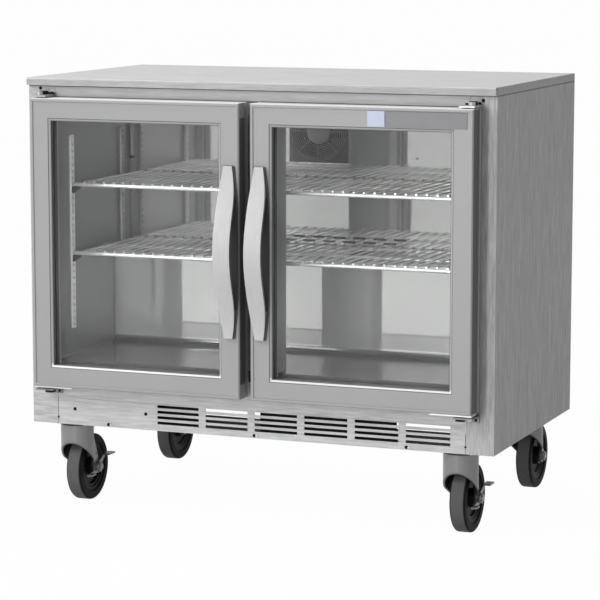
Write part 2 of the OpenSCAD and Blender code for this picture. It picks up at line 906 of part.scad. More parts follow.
module door_spacer(side) {
    play = 1.5;
    edge = frame_w - glass_bite + play;
    bar = glass_bite - play - clear;
    y0 = glass_front + pane_t;
    y1 = y0 + pane_gap;
    color("#3a3d3f") door_at(side) translate([edge, 0, edge])
        mitred_frame(door_w - 2 * edge, door_h - 2 * edge, [[0, y0], [0, y1]], [[bar, y0], [bar, y1]]);
}

module door_gasket(side) {
    out = gasket_inset;
    in = gasket_inset + gasket_w;
    neck = 4;
    base = door_t + 2;
    bead = 3;
    head = door_t + gasket_t - bead;
    face = door_t + gasket_t - clear;
    color(black) door_at(side) mitred_frame(door_w, door_h,
        [[out, door_t], [out, base], [out + neck, base], [out + neck, head], [out, head], [out, face]],
        [[in, door_t], [in, base], [in - neck, base], [in - neck, head], [in, head], [in, face]]
    );
}

// Handle: reach of the bow and half width of the outline at a height from the middle
function bow(z) = handle_foot + (handle_reach - handle_foot) * (1 + cos(360 * z / handle_len)) / 2;
function half_width(z) = handle_end_w / 2 + (handle_mid_w - handle_end_w) / 2
    * sin(90 * min(1, (handle_len / 2 - abs(z)) / handle_flare));
handle_steps = 48;
handle_zs = [for (i = [0:handle_steps]) handle_len * (i / handle_steps - 0.5)];
grip_zs = [for (i = [0:handle_steps]) grip_len * (i / handle_steps - 0.5)];

function bow_line(zs, inset) = [for (z = zs) [-(bow(z) - inset), z]];
module handle_at(side) {
    door_at(side) translate([handle_inset, 0, door_h / 2]) children();
}

module handle_outline(past, y0, y1) {
    along_y(y0, y1) polygon(concat(
        [for (z = handle_zs) [half_width(z) + past, z]],
        [for (z = reversed(handle_zs)) [-half_width(z) - past, z]]
    ));
}

// The handle's base reaches down to the frame's face with a narrower pad
module handle(side) {
    pad = handle_end_w / 2 - seam;
    pad_z = handle_len / 2 - seam;
    color("#3b3d3f") handle_at(side) {
        handle_outline(base_past, -grip_base, 0);
        intersection() {
            handle_outline(0, -handle_reach - over, over);
            along_x(-handle_mid_w, handle_mid_w) difference() {
                polygon(concat([[0, -handle_len / 2]], bow_line(handle_zs, face_t), [[0, handle_len / 2]]));
                polygon(concat([[-grip_base, -grip_len / 2]], bow_line(grip_zs, face_t + bow_t),
                               [[-grip_base, grip_len / 2]]));
            }
        }
        slab([-pad, -grip_base / 2, -pad_z], [pad, face_drop, pad_z]);
    }
}

module handle_face(side) {
    color("#d2d4d5") handle_at(side) intersection() {
        handle_outline(0, -handle_reach - over, over);
        along_x(-handle_mid_w, handle_mid_w)
            polygon(concat(bow_line(handle_zs, 0), reversed(bow_line(handle_zs, face_t))));
    }
}

module hinge_leaf(side) {
    leaf_out = 4;
    leaf_in = 12;
    pin = [door_w - pivot_inset, door_out - pivot_out];
    color(steel) door_at(side) difference() {
        slab([door_w - leaf_len, leaf_out, -plate_t], [door_w, door_t - leaf_in, 0]);
        translate([pin[0], pin[1], -plate_t - over]) cylinder(r = pin_r + run, h = plate_t + 2 * over);
    }
}

module left_door_frame() {
    door_frame(-1);
}

module right_door_frame() {
    door_frame(1);
}

module left_door_glass() {
    door_glass(-1);
}

module right_door_glass() {
    door_glass(1);
}

module left_door_spacer() {
    door_spacer(-1);
}

module right_door_spacer() {
    door_spacer(1);
}

module left_door_gasket() {
    door_gasket(-1);
}

module right_door_gasket() {
    door_gasket(1);
}

module left_handle() {
    handle(-1);
}

module right_handle() {
    handle(1);
}

module left_handle_face() {
    handle_face(-1);
}

module right_handle_face() {
    handle_face(1);
}

module left_hinge_leaf() {
    hinge_leaf(-1);
}

module right_hinge_leaf() {
    hinge_leaf(1);
}

// Hinge brackets on the cabinet

module bracket_pair() {
    color(steel) cabinet() both_sides() children();
}

module top_hinge_brackets() {
    door_top = door_bottom + door_h;
    plate_z = door_top + hinge_gap;
    outer = half_w - door_side_gap;
    ear_past = 15;
    ear_out = pivot_out + ear_past;
    leaf_h = 8;
    cap_r = 6.5;
    cap_h = 6;
    bracket_pair() {
        slab([outer - top_bracket_w, -ear_out, plate_z], [outer, 0, plate_z + plate_t]);
        slab([outer - top_bracket_w, -plate_t, plate_z], [outer, 0, plate_z + leaf_h]);
        translate([pivot_x, -pivot_out, plate_z + plate_t / 2]) cylinder(r = cap_r, h = plate_t / 2 + cap_h);
        translate([pivot_x, -pivot_out, door_top - pin_depth + clear])
            cylinder(r = pin_r, h = pin_depth - clear + hinge_gap + plate_t / 2);
    }
}

module bottom_hinge_brackets() {
    washer_t = 3;
    washer_r = 8;
    ear_z = door_bottom - plate_t - clear - washer_t - plate_t;
    outer = half_w - door_side_gap;
    ear_w = 36;
    ear_out = pivot_out + 12;
    leaf_h = 14;
    bracket_pair() {
        slab([outer - ear_w, -ear_out, ear_z], [outer, 0, ear_z + plate_t]);
        slab([outer - ear_w, -plate_t, ear_z + plate_t - leaf_h], [outer, 0, ear_z + plate_t]);
        translate([pivot_x, -pivot_out, ear_z + plate_t]) cylinder(r = washer_r, h = washer_t);
        translate([pivot_x, -pivot_out, ear_z])
            cylinder(r = pin_r, h = door_bottom - ear_z + pin_depth - clear);
    }
}

// Casters

function swivel_at(side, rear) =
    [side * (half_w - swivel_side), rear ? body_d - swivel_back : swivel_front, fork_top];

module caster_at(side, rear) {
    cabinet() translate(swivel_at(side, rear)) children();
}

kingpin_r = 8;
disc_t = 5;

module caster_plates() {
    head_r = 12;
    head_t = 4;
    plate = caster_plate / 2;
    color(steel_dark)
        for (side = [-1, 1], rear = [false, true]) caster_at(side, rear) {
            translate([0, 0, clear]) cylinder(r = fork_r - 3, h = race_h);
            slab([-plate, -plate, clear + race_h], [plate, plate, clear + race_h + caster_plate_t]);
            translate([0, 0, -disc_t - clear]) cylinder(r = kingpin_r, h = disc_t + 2 * clear + race_h);
            translate([0, 0, -disc_t - clear - head_t]) cylinder(r = head_r, h = head_t);
        }
}

hub_past = 1;
hub_w = tyre_w + 2 * hub_past;
boss_in = hub_w / 2 + clear;
leg_out = boss_in + fork_t + clear;
boss_past = 1.2;
boss_out = leg_out + boss_past;
boss_r = 12;
leg_room = 8;
leg_front = trail - boss_r - leg_room;
leg_back = trail + boss_r + over;
lever_t = 2.5;

// Plan of the fork: a round front whose sides close in towards the wheel
module fork_plan(r, x) {
    intersection() {
        circle(r);
        translate([-r, -r]) square([2 * r, r]);
    }
    polygon([[-r, 0], [r, 0], [x, leg_front], [x, leg_back], [-x, leg_back], [-x, leg_front]]);
}

// Side view of the fork: a slanted lower edge runs down from the front to the axle
module fork_side() {
    back = 12;
    polygon([
        [-fork_r - over, over], [back, over], [trail + boss_r * cos(20), -axle_drop + boss_r * sin(20)],
        [trail, -axle_drop], [trail - boss_r * cos(45), -axle_drop - boss_r * sin(45)],
        [-fork_r - over, -fork_front]
    ]);
    translate([trail, -axle_drop]) circle(boss_r);
}

module fork(side, rear, brake) {
    head_t = 4;
    thread = 2;
    nut_x = boss_out + clear + (brake ? lever_t + clear : 0);
    caster_at(side, rear) {
        color("#7d8082") difference() {
            union() {
                intersection() {
                    translate([0, 0, -axle_drop - boss_r]) linear_extrude(axle_drop + boss_r) difference() {
                        fork_plan(fork_r, leg_out);
                        fork_plan(fork_r - fork_t, leg_out - fork_t);
                    }
                    along_x(-fork_r, fork_r) fork_side();
                }
                translate([0, 0, -disc_t]) cylinder(r = fork_r, h = disc_t);
                both_sides() translate([0, trail, -axle_drop]) rod_x(boss_in, boss_out, boss_r);
            }
            translate([0, 0, -disc_t - over]) cylinder(r = kingpin_r + run, h = disc_t + 2 * over);
            translate([0, trail, -axle_drop]) rod_x(-fork_r, fork_r, axle_r + run);
        }
        color(steel) translate([0, trail, -axle_drop]) {
            rod_x(-boss_out - clear - head_t, nut_x + head_t + thread, axle_r);
            rod_x(-boss_out - clear - head_t, -boss_out - clear, axle_r * 1.6, $fn = 6);
            rod_x(nut_x, nut_x + head_t, axle_r * 1.6, $fn = 6);
        }
    }
}

module wheel_at(side, rear) {
    caster_at(side, rear) translate([0, trail, -axle_drop]) rotate([0, 90, 0]) children();
}

module hub(side, rear) {
    w = hub_w / 2;
    rim = tyre_w / 2 - 3;
    web = 6;
    boss = 16;
    color(black) wheel_at(side, rear) rotate_extrude() polygon([
        [axle_r + run, -w], [boss, -w], [boss + 2, -web], [hub_r - 14, -web], [hub_r - 12, -web - 4],
        [hub_r - 8, -web - 4], [hub_r - 6, -rim], [hub_r, -rim], [hub_r, rim], [hub_r - 6, rim],
        [hub_r - 8, web + 4], [hub_r - 12, web + 4], [hub_r - 14, web], [boss + 2, web], [boss, w],
        [axle_r + run, w]
    ]);
}

module tyre(side, rear) {
    w = tyre_w / 2;
    shoulder = 5;
    rim = w - 3;
    color(rubber) wheel_at(side, rear) rotate_extrude() polygon(concat(
        [[hub_r, -rim], [hub_r + 2, -w]],
        arc([wheel_r - shoulder, -w + shoulder], shoulder, -90, 0, 5),
        arc([wheel_r - shoulder, w - shoulder], shoulder, 0, 90, 5),
        [[hub_r + 2, w], [hub_r, rim]]
    ));
}

// Rocker beside the wheel: a toe tab in front of the axle, an arm with a pedal behind it
module brake(side) {
    x0 = boss_out + clear;
    eye = 10;
    tab_y = -46;
    tab_l = 18;
    tab_z = -9;
    tab_w = 10;
    tab_t = 3;
    arm_y = 26;
    arm_z = 20;
    arm_w = 4;
    pedal_w = 14;
    pedal_l = 22;
    color("#8b8e90") caster_at(side, false) translate([0, trail, -axle_drop]) difference() {
        union() {
            along_x(x0, x0 + lever_t) {
                circle(eye);
                polygon([[tab_y, tab_z - tab_t], [0, -eye], [0, -tab_t / 2], [tab_y, tab_z + tab_t / 2]]);
                polygon([[0, arm_w - eye], [arm_y, arm_z - arm_w], [arm_y, arm_z + arm_w / 2], [0, eye]]);
            }
            slab([x0, tab_y, tab_z - tab_t / 2], [x0 + tab_w, tab_y + tab_l, tab_z + tab_t / 2]);
            slab([x0, arm_y - arm_w, arm_z - arm_w / 4],
                 [x0 + pedal_w, arm_y + pedal_l, arm_z - arm_w / 4 + tab_t]);
        }
        rod_x(x0 - over, x0 + lever_t + over, axle_r + run);
    }
}

module fork_front_left() {
    fork(-1, false, true);
}

module fork_front_right() {
    fork(1, false, true);
}

module fork_rear_left() {
    fork(-1, true, false);
}

module fork_rear_right() {
    fork(1, true, false);
}

module hub_front_left() {
    hub(-1, false);
}

module hub_front_right() {
    hub(1, false);
}

module hub_rear_left() {
    hub(-1, true);
}

module hub_rear_right() {
    hub(1, true);
}

module tyre_front_left() {
    tyre(-1, false);
}

module tyre_front_right() {
    tyre(1, false);
}

module tyre_rear_left() {
    tyre(-1, true);
}

module tyre_rear_right() {
    tyre(1, true);
}

module brake_front_left() {
    brake(-1);
}

module brake_front_right() {
    brake(1);
}

worktop();
left_side_panel();
right_side_panel();
back_panel();
top_rail();
sill();
centre_mullion();
foam_walls();
liner();
bay_liner();
evaporator_cover();
evaporator_coil();
evaporator_fan_frame();
evaporator_fan_blade();
fan_guard();
drain_trough();
shelf_pilasters();
shelf_clips();
upper_shelf();
lower_shelf();
base_channels();
machine_tray();
compressor();
condenser_coil();
condenser_fan_shroud();
condenser_fan_blade();
rear_grille();
kick_grille();
control_box();
top_hinge_brackets();
bottom_hinge_brackets();
caster_plates();
left_door_frame();
left_door_glass();
left_door_spacer();
left_door_gasket();
left_handle();
left_handle_face();
left_hinge_leaf();
right_door_frame();
right_door_glass();
right_door_spacer();
right_door_gasket();
right_handle();
right_handle_face();
right_hinge_leaf();
fork_front_left();
fork_front_right();
fork_rear_left();
fork_rear_right();
hub_front_left();
hub_front_right();
hub_rear_left();
hub_rear_right();
tyre_front_left();
tyre_front_right();
tyre_rear_left();
tyre_rear_right();
brake_front_left();
brake_front_right();
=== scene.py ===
import math

import bpy
from mathutils import Matrix, Vector


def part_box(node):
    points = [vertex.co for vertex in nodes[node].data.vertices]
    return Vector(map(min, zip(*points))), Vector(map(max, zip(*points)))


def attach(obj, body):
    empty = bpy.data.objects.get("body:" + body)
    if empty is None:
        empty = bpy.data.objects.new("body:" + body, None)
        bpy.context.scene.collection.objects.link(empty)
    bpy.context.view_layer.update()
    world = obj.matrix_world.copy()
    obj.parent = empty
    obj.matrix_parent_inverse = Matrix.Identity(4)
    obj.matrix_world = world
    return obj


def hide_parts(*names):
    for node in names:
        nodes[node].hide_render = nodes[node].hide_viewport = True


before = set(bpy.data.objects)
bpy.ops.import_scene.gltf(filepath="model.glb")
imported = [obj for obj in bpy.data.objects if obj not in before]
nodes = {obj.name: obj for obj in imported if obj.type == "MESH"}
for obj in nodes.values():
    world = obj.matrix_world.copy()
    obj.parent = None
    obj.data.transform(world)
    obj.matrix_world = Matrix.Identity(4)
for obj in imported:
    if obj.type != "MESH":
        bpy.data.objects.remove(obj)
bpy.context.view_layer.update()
print("frame loaded:", len(nodes), "nodes")


# camera, set to the photograph's view from the front right
viewpoint = {
    "place": (1.7813, -4.5401, 1.0786),
    "turn": 21.469,  # degrees to the left of straight ahead
    "dip": 8.09,  # degrees below level
    "lens": 154.72,
    "sensor": 36.0,
    "farthest": 400,
}


def makeCamera(v):
    bpy.ops.object.camera_add(
        location=v["place"],
        rotation=(math.radians(90 - v["dip"]), 0, math.radians(v["turn"])),
    )
    cam = bpy.context.object
    cam.name = "photoCamera"
    cam.data.lens = v["lens"]
    cam.data.sensor_width = v["sensor"]
    cam.data.clip_end = v["farthest"]
    bpy.context.scene.camera = cam


makeCamera(viewpoint)
print("camera set")


# values that several finishes share
floatInlets = (0, 2, 3)  # share, first and second value of a mix node
colourInlets = (0, 6, 7)
colourOutlet = 2
evenScale = (1, 1, 1)
plainRamp = (0.3, 0.7)
grainDetail = 3.0
metalCloud = {"scale": 7.0, "detail": 2.0, "share": 0.55}
softCloud = {"scale": 18.0, "detail": 3.0, "share": 0.6}
fineBump = 0.0001  # metres, as are all places and edges in the finishes
softBump = 0.0002
placeSoft = 0.0005
bandSoft = 0.0002
coolCast = 1.008  # blue against red in the greys


# small helpers for node trees
def startFinish(name):
    mat = bpy.data.materials.new(name)
    mat.use_nodes = True
    return mat, mat.node_tree, mat.node_tree.nodes["Principled BSDF"]


def feed(tree, value, socket):
    if isinstance(value, bpy.types.NodeSocket):
        tree.links.new(value, socket)
    else:
        socket.default_value = value


def objectMap(tree, scale):
    coord = tree.nodes.new("ShaderNodeTexCoord")
    mapping = tree.nodes.new("ShaderNodeMapping")
    mapping.inputs["Scale"].default_value = scale
    tree.links.new(coord.outputs["Object"], mapping.inputs["Vector"])
    return mapping.outputs["Vector"]


def noiseOn(tree, vector, scale, detail, rough=0.55):
    tex = tree.nodes.new("ShaderNodeTexNoise")
    tex.inputs["Scale"].default_value = scale
    tex.inputs["Detail"].default_value = detail
    tex.inputs["Roughness"].default_value = rough
    tree.links.new(vector, tex.inputs["Vector"])
    return tex.outputs["Fac"]


def evenNoise(tree, scale, detail):
    return noiseOn(tree, objectMap(tree, evenScale), scale, detail)


def spread(tree, value, low, high, start=0.25, end=0.75):
    node = tree.nodes.new("ShaderNodeMapRange")
    node.inputs["From Min"].default_value = start
    node.inputs["From Max"].default_value = end
    node.inputs["To Min"].default_value = low
    node.inputs["To Max"].default_value = high
    tree.links.new(value, node.inputs["Value"])
    return node.outputs["Result"]


def around(tree, value, middle, vary):
    return spread(tree, value, middle * (1 - vary), middle * (1 + vary))


# 0 before a place and 1 beyond it, and the other way round
def rise(tree, value, place, soft):
    return spread(tree, value, 0.0, 1.0, place - soft, place + soft)


def fall(tree, value, place, soft):
    return spread(tree, value, 1.0, 0.0, place - soft, place + soft)


def mathOf(tree, operation, *values):
    node = tree.nodes.new("ShaderNodeMath")
    node.operation = operation
    for value, socket in zip(values, node.inputs):
        feed(tree, value, socket)
    return node.outputs[0]


def blend(tree, share, first, second):
    node = tree.nodes.new("ShaderNodeMix")
    node.data_type = "FLOAT"
    for value, inlet in zip((share, first, second), floatInlets):
        feed(tree, value, node.inputs[inlet])
    return node.outputs[0]


def mottle(tree, grainScale, cloud):
    grain = evenNoise(tree, grainScale, grainDetail)
    drift = evenNoise(tree, cloud["scale"], cloud["detail"])
    return {"grain": grain, "cloud": drift, "both": blend(tree, cloud["share"], grain, drift)}


def tintBy(tree, value, dark, light, shader, ramp=plainRamp):
    node = tree.nodes.new("ShaderNodeValToRGB")
    for stop, place, tone in zip(node.color_ramp.elements, ramp, (dark, light)):
        stop.position = place
        stop.color = (*tone, 1)
    tree.links.new(value, node.inputs["Fac"])
    tree.links.new(node.outputs["Color"], shader.inputs["Base Color"])


def tintAround(tree, value, look, tone, shader, ramp=plainRamp):
    dark, light = [[c * share for c in tone] for share in (1 - look["vary"], 1 + look["vary"])]
    tintBy(tree, value, dark, light, shader, ramp)


def grey(v):
    return (v, v, v * coolCast)


def greyInto(tree, value, shader):
    tone = tree.nodes.new("ShaderNodeCombineColor")
    for channel in ("Red", "Green", "Blue"):
        tree.links.new(value, tone.inputs[channel])
    tree.links.new(tone.outputs["Color"], shader.inputs["Base Color"])


def bumpBy(tree, value, strength, depth, shader):
    node = tree.nodes.new("ShaderNodeBump")
    node.inputs["Strength"].default_value = strength
    node.inputs["Distance"].default_value = depth
    tree.links.new(value, node.inputs["Height"])
    tree.links.new(node.outputs["Normal"], shader.inputs["Normal"])


def setConstants(shader, look):
    for key, socket in (("metal", "Metallic"), ("shine", "Specular IOR Level")):
        if key in look:
            shader.inputs[socket].default_value = look[key]


def mixShaders(tree, share, first, second):
    mix = tree.nodes.new("ShaderNodeMixShader")
    for value, socket in zip((share, first.outputs[0], second.outputs[0]), mix.inputs):
        tree.links.new(value, socket)
    tree.links.new(mix.outputs["Shader"], tree.nodes["Material Output"].inputs["Surface"])


# places in the part's own frame, for finishes whose tone depends on them
def placeOf(tree, axis):
    coord = tree.nodes.new("ShaderNodeTexCoord")
    split = tree.nodes.new("ShaderNodeSeparateXYZ")
    tree.links.new(coord.outputs["Object"], split.inputs["Vector"])
    return split.outputs[axis]


def awayFrom(tree, value, middle):
    return mathOf(tree, "ABSOLUTE", mathOf(tree, "SUBTRACT", value, middle))


# distance sideways from a line that stands on the left and on the right alike
def sideways(tree, middle):
    return awayFrom(tree, awayFrom(tree, placeOf(tree, "X"), 0.0), middle)


# a darker or lighter strip across a finish; every one used here is painted shade, such as the shade along the
# seam under the worktop
def shadeBand(tree, shader, axis, low, high, share):
    socket = shader.inputs["Base Color"]
    source = socket.links[0].from_socket
    above = rise(tree, placeOf(tree, axis), low, bandSoft)
    below = fall(tree, placeOf(tree, axis), high, bandSoft)
    mix = tree.nodes.new("ShaderNodeMix")
    mix.data_type = "RGBA"
    mix.blend_type = "MULTIPLY"
    inside = mathOf(tree, "MULTIPLY", above, below)
    for value, inlet in zip((inside, source, (share, share, share, 1)), colourInlets):
        feed(tree, value, mix.inputs[inlet])
    tree.links.new(mix.outputs[colourOutlet], socket)


# brushed steel: short fine streaks along the sheet's own rolling direction
brushedLooks = {
    # worktop: its two bands are painted shade on its right side and along its front edge
    "worktopSteel": {"tone": 0.488, "vary": 0.2, "along": "x", "metal": 0.1, "rough": 0.6, "shine": 0.2,
                     "bands": [("X", 0.4562, 0.46, 0.88), ("Y", -0.25, -0.2423, 0.84)]},
    "frontSteel": {"tone": 0.51, "vary": 0.22, "along": "x", "metal": 0.15, "rough": 0.5, "shine": 0.2},
    # sill: its band is painted shade across its top, behind the foot of the doors
    "sillSteel": {"tone": 0.51, "vary": 0.22, "along": "x", "metal": 0.15, "rough": 0.5, "shine": 0.2,
                  "bands": [("Z", 0.2635, 0.3, 0.1)]},
    # top rail: painted shade along the seam under the worktop and a painted shadow line above the door tops
    "railSteel": {"tone": 0.43, "vary": 0.15, "along": "x", "metal": 0.15, "rough": 0.5, "shine": 0.2,
                  "bands": [("Z", 0.7965, 0.8, 0.4), ("Z", 0.7752, 0.7786, 0.3)]},
    # side panels: their band is painted shade along the seam under the worktop
    "leftSteel": {"tone": 0.46, "vary": 0.3, "along": "z", "metal": 0.08, "rough": 0.52, "shine": 0.1,
                  "postFront": -0.2323, "bands": [("Z", 0.7965, 0.8, 0.4)]},
    "rightSteel": {"tone": 0.46, "vary": 0.3, "along": "z", "metal": 0.08, "rough": 0.52, "shine": 0.1,
                   "bands": [("Z", 0.7965, 0.8, 0.4)]},
    "backSteel": {"tone": 0.42, "vary": 0.2, "along": "x", "metal": 0.15, "rough": 0.5, "shine": 0.2},
    "hingeSteel": {"tone": 0.4, "vary": 0.08, "along": "x", "metal": 0.6, "rough": 0.4, "shine": 0.4},
    "leafSteel": {"tone": 0.66, "vary": 0.06, "along": "x", "metal": 0.7, "rough": 0.3, "shine": 0.5},
    # bottom hinge brackets: steel painted dark as painted shade
    "bracketSteel": {"tone": 0.2, "vary": 0.08, "along": "x", "metal": 0.6, "rough": 0.35, "shine": 0.4},
    "handleFace": {"tone": 0.50, "vary": 0.05, "along": "z", "metal": 0.1, "rough": 0.5, "shine": 0.2},
}
brushedGrain = {
    "layers": ({"along": 34, "across": 560, "detail": 4.0, "rough": 0.6},
               {"along": 14, "across": 180, "detail": 3.0, "rough": 0.55}),
    "broadShare": 0.45, "postSoft": 0.0003, "ramp": (0.34, 0.66), "roughStep": 0.07, "bump": 0.1,
}


def brushedStreaks(tree, along):
    layers = []
    for g in brushedGrain["layers"]:
        scale = [g["along"] if axis == along else g["across"] for axis in "xyz"]
        layers.append(noiseOn(tree, objectMap(tree, scale), 1.0, g["detail"], g["rough"]))
    return layers[0], blend(tree, brushedGrain["broadShare"], *layers)


def brushedFinish(name, look):
    mat, tree, shader = startFinish(name)
    g = brushedGrain
    streaks, both = brushedStreaks(tree, look["along"])
    if "postFront" in look:
        start = look["postFront"]
        fore = spread(tree, placeOf(tree, "Y"), 1.0, 0.0, start, start + g["postSoft"])
        crossStreaks, crossBoth = brushedStreaks(tree, "x")
        streaks = blend(tree, fore, streaks, crossStreaks)
        both = blend(tree, fore, both, crossBoth)
    tintAround(tree, both, look, grey(look["tone"]), shader, g["ramp"])
    for band in look.get("bands", []):
        shadeBand(tree, shader, *band)
    rough = spread(tree, streaks, look["rough"] - g["roughStep"], look["rough"] + g["roughStep"])
    tree.links.new(rough, shader.inputs["Roughness"])
    bumpBy(tree, streaks, g["bump"], fineBump, shader)
    setConstants(shader, look)
    return mat


# satin metals: an even grain with a faint cloud in the tone
satinLooks = {
    "mullionSteel": {"tone": 0.3, "vary": 0.06, "metal": 0.3, "rough": 0.4, "grain": 300},
    "galvanised": {"tone": 0.36, "vary": 0.14, "metal": 0.7, "rough": 0.5, "grain": 90},
    # machine bay: steel painted near black as painted shade
    "baySteel": {"tone": 0.07, "vary": 0.14, "metal": 0.4, "rough": 0.5, "grain": 90},
    "finAluminium": {"tone": 0.3, "vary": 0.06, "metal": 0.7, "rough": 0.4, "grain": 300},
    # evaporator coil painted near black as painted shade behind the cover's slots
    "coilDark": {"tone": 0.03, "vary": 0.1, "metal": 0.3, "rough": 0.5, "grain": 300},
    "shelfWire": {"tone": 0.72, "vary": 0.03, "metal": 0.65, "rough": 0.22, "grain": 220, "speckle": 0.05},
    "guardWire": {"tone": 0.17, "vary": 0.1, "metal": 0.2, "rough": 0.4, "grain": 300},
    "brakeSteel": {"tone": 0.15, "vary": 0.08, "metal": 0.3, "rough": 0.32, "grain": 300},
    "boltZinc": {"tone": 0.62, "vary": 0.08, "metal": 0.9, "rough": 0.3, "grain": 400},
    "tubeSteel": {"tone": 0.24, "vary": 0.06, "metal": 0.3, "rough": 0.4, "grain": 300},
    "spacerAluminium": {"tone": 0.12, "vary": 0.1, "metal": 0.1, "rough": 0.5, "grain": 400, "shine": 0.1},
}
satinGrain = {"speckle": 0.15, "bump": 0.05}


def satinFinish(name, look):
    mat, tree, shader = startFinish(name)
    m = mottle(tree, look["grain"], metalCloud)
    tintAround(tree, m["both"], look, grey(look["tone"]), shader)
    rough = around(tree, m["grain"], look["rough"], look.get("speckle", satinGrain["speckle"]))
    tree.links.new(rough, shader.inputs["Roughness"])
    bumpBy(tree, m["grain"], satinGrain["bump"], fineBump, shader)
    setConstants(shader, look)
    return mat


# bright inner sheet: polished on the back walls and duller on the side walls; painted shade makes the side
# walls and the floor darker
linerLooks = {
    "linerAluminium": {
        "tone": 0.60, "sideShadeTone": 0.30, "floorShadeTone": 0.175, "metal": 0.72,
        "rough": 0.04, "sideRough": 0.36, "floorRough": 0.2,
    },
    "coverAluminium": {
        "tone": 0.49, "sideShadeTone": 0.30, "floorShadeTone": 0.4, "metal": 0.75,
        "rough": 0.04, "sideRough": 0.3, "floorRough": 0.2,
    },
}
linerPlaces = {"wall": (0.3993, 0.4028), "floor": (0.2935, 0.2965)}
linerVary = {"tone": 0.05, "floorShadeTone": 0.07, "sideShadeTone": 0.1, "sideRough": 0.03}
linerGrain = {"scale": (18, 18, 420), "cloud": (6.0, 2.0), "share": 0.5, "bump": 0.015, "depth": 0.00005}


def linerFinish(name, look):
    mat, tree, shader = startFinish(name)
    g = linerGrain
    side = spread(tree, awayFrom(tree, placeOf(tree, "X"), 0.0), 0.0, 1.0, *linerPlaces["wall"])
    low = spread(tree, placeOf(tree, "Z"), 1.0, 0.0, *linerPlaces["floor"])
    grain = noiseOn(tree, objectMap(tree, g["scale"]), 1.0, grainDetail)
    both = blend(tree, g["share"], grain, evenNoise(tree, *g["cloud"]))
    # the floor and side wall tones are painted shade
    plain, under, dull, upright = [around(tree, both, look[n], vary) for n, vary in linerVary.items()]
    greyInto(tree, blend(tree, side, blend(tree, low, plain, under), dull), shader)
    flat = spread(tree, low, look["rough"], look["floorRough"], 0.0, 1.0)
    tree.links.new(blend(tree, side, flat, upright), shader.inputs["Roughness"])
    bumpBy(tree, grain, g["bump"], g["depth"], shader)
    setConstants(shader, look)
    return mat


# two tones by depth: a dark foot where the handle meets the door; on the pilasters a painted highlight at the
# front of the cabinet and painted shade at its rear
depthLooks = {
    # pilasters: the bands are painted shade where they meet the side walls
    "pilasterSteel": {
        "tone": 0.95, "backTone": 0.4, "back": -0.1, "vary": 0.02, "metal": 0.1, "rough": 0.4,
        "shine": 0.5, "grain": 300, "bands": [("X", -0.41, -0.3998, 0.35), ("X", 0.3998, 0.41, 0.35)],
    },
    "handleBody": {
        "tone": 0.22, "backTone": 0.09, "back": -0.2905, "vary": 0.06, "metal": 0.2, "rough": 0.42,
        "shine": 0.25, "grain": 700,
    },
}
depthGrain = {"backVary": 0.1, "speckle": 0.1, "bump": 0.04}


def depthFinish(name, look):
    mat, tree, shader = startFinish(name)
    g = depthGrain
    behind = rise(tree, placeOf(tree, "Y"), look["back"], placeSoft)
    m = mottle(tree, look["grain"], metalCloud)
    face = around(tree, m["both"], look["tone"], look["vary"])
    rear = around(tree, m["both"], look["backTone"], g["backVary"])
    greyInto(tree, blend(tree, behind, face, rear), shader)
    for band in look.get("bands", []):
        shadeBand(tree, shader, *band)
    tree.links.new(around(tree, m["grain"], look["rough"], g["speckle"]), shader.inputs["Roughness"])
    bumpBy(tree, m["grain"], g["bump"], fineBump, shader)
    setConstants(shader, look)
    return mat


# door frame: satin face, a bead round the opening with painted shade in the groove at its edge and a painted
# highlight along its foot, painted shade on the reveal behind it, a pale back and a painted highlight on the
# top edge
doorLook = {
    "tone": 0.335, "groove": 0.13, "bead": 0.4, "foot": 0.72, "revealShade": 0.15, "backTone": 0.5,
    "middle": 0.2203, "level": 0.5081, "halfWidth": 0.1735, "halfHeight": 0.2335,
    "beadIn": 0.0013, "revealIn": 0.0044, "back": -0.2448, "footTop": 0.2825, "topEdge": 0.7769,
    "vary": 0.03, "metal": 0.12, "rough": 0.46, "speckle": 0.1, "shine": 0.25, "grain": 500, "bump": 0.04,
    "beadSoft": 0.0001,
}


def doorFinish(name, look):
    mat, tree, shader = startFinish(name)
    upward = awayFrom(tree, placeOf(tree, "Z"), look["level"])
    spans = ((sideways(tree, look["middle"]), look["halfWidth"]), (upward, look["halfHeight"]))

    def within(inset):
        sides = [fall(tree, value, half - inset, look["beadSoft"]) for value, half in spans]
        return mathOf(tree, "MULTIPLY", *sides)

    m = mottle(tree, look["grain"], metalCloud)
    tones = ("tone", "groove", "bead", "foot", "revealShade", "backTone")
    face, groove, bead, foot, revealShade, rear = [around(tree, m["both"], look[n], look["vary"]) for n in tones]
    behind = rise(tree, placeOf(tree, "Y"), look["back"], placeSoft)
    lowest = fall(tree, placeOf(tree, "Z"), look["footTop"], bandSoft)
    highest = rise(tree, placeOf(tree, "Z"), look["topEdge"], bandSoft)
    # painted highlight on the top edge, in the foot tone
    tone = blend(tree, highest, blend(tree, behind, face, rear), foot)
    # painted shade in the groove round the opening
    tone = blend(tree, within(0.0), tone, groove)
    # painted highlight along the bead's foot
    tone = blend(tree, within(look["beadIn"]), tone, blend(tree, lowest, bead, foot))
    # painted shade on the reveal
    tone = blend(tree, within(look["revealIn"]), tone, revealShade)
    greyInto(tree, tone, shader)
    tree.links.new(around(tree, m["grain"], look["rough"], look["speckle"]), shader.inputs["Roughness"])
    bumpBy(tree, m["grain"], look["bump"], fineBump, shader)
    setConstants(shader, look)
    return mat


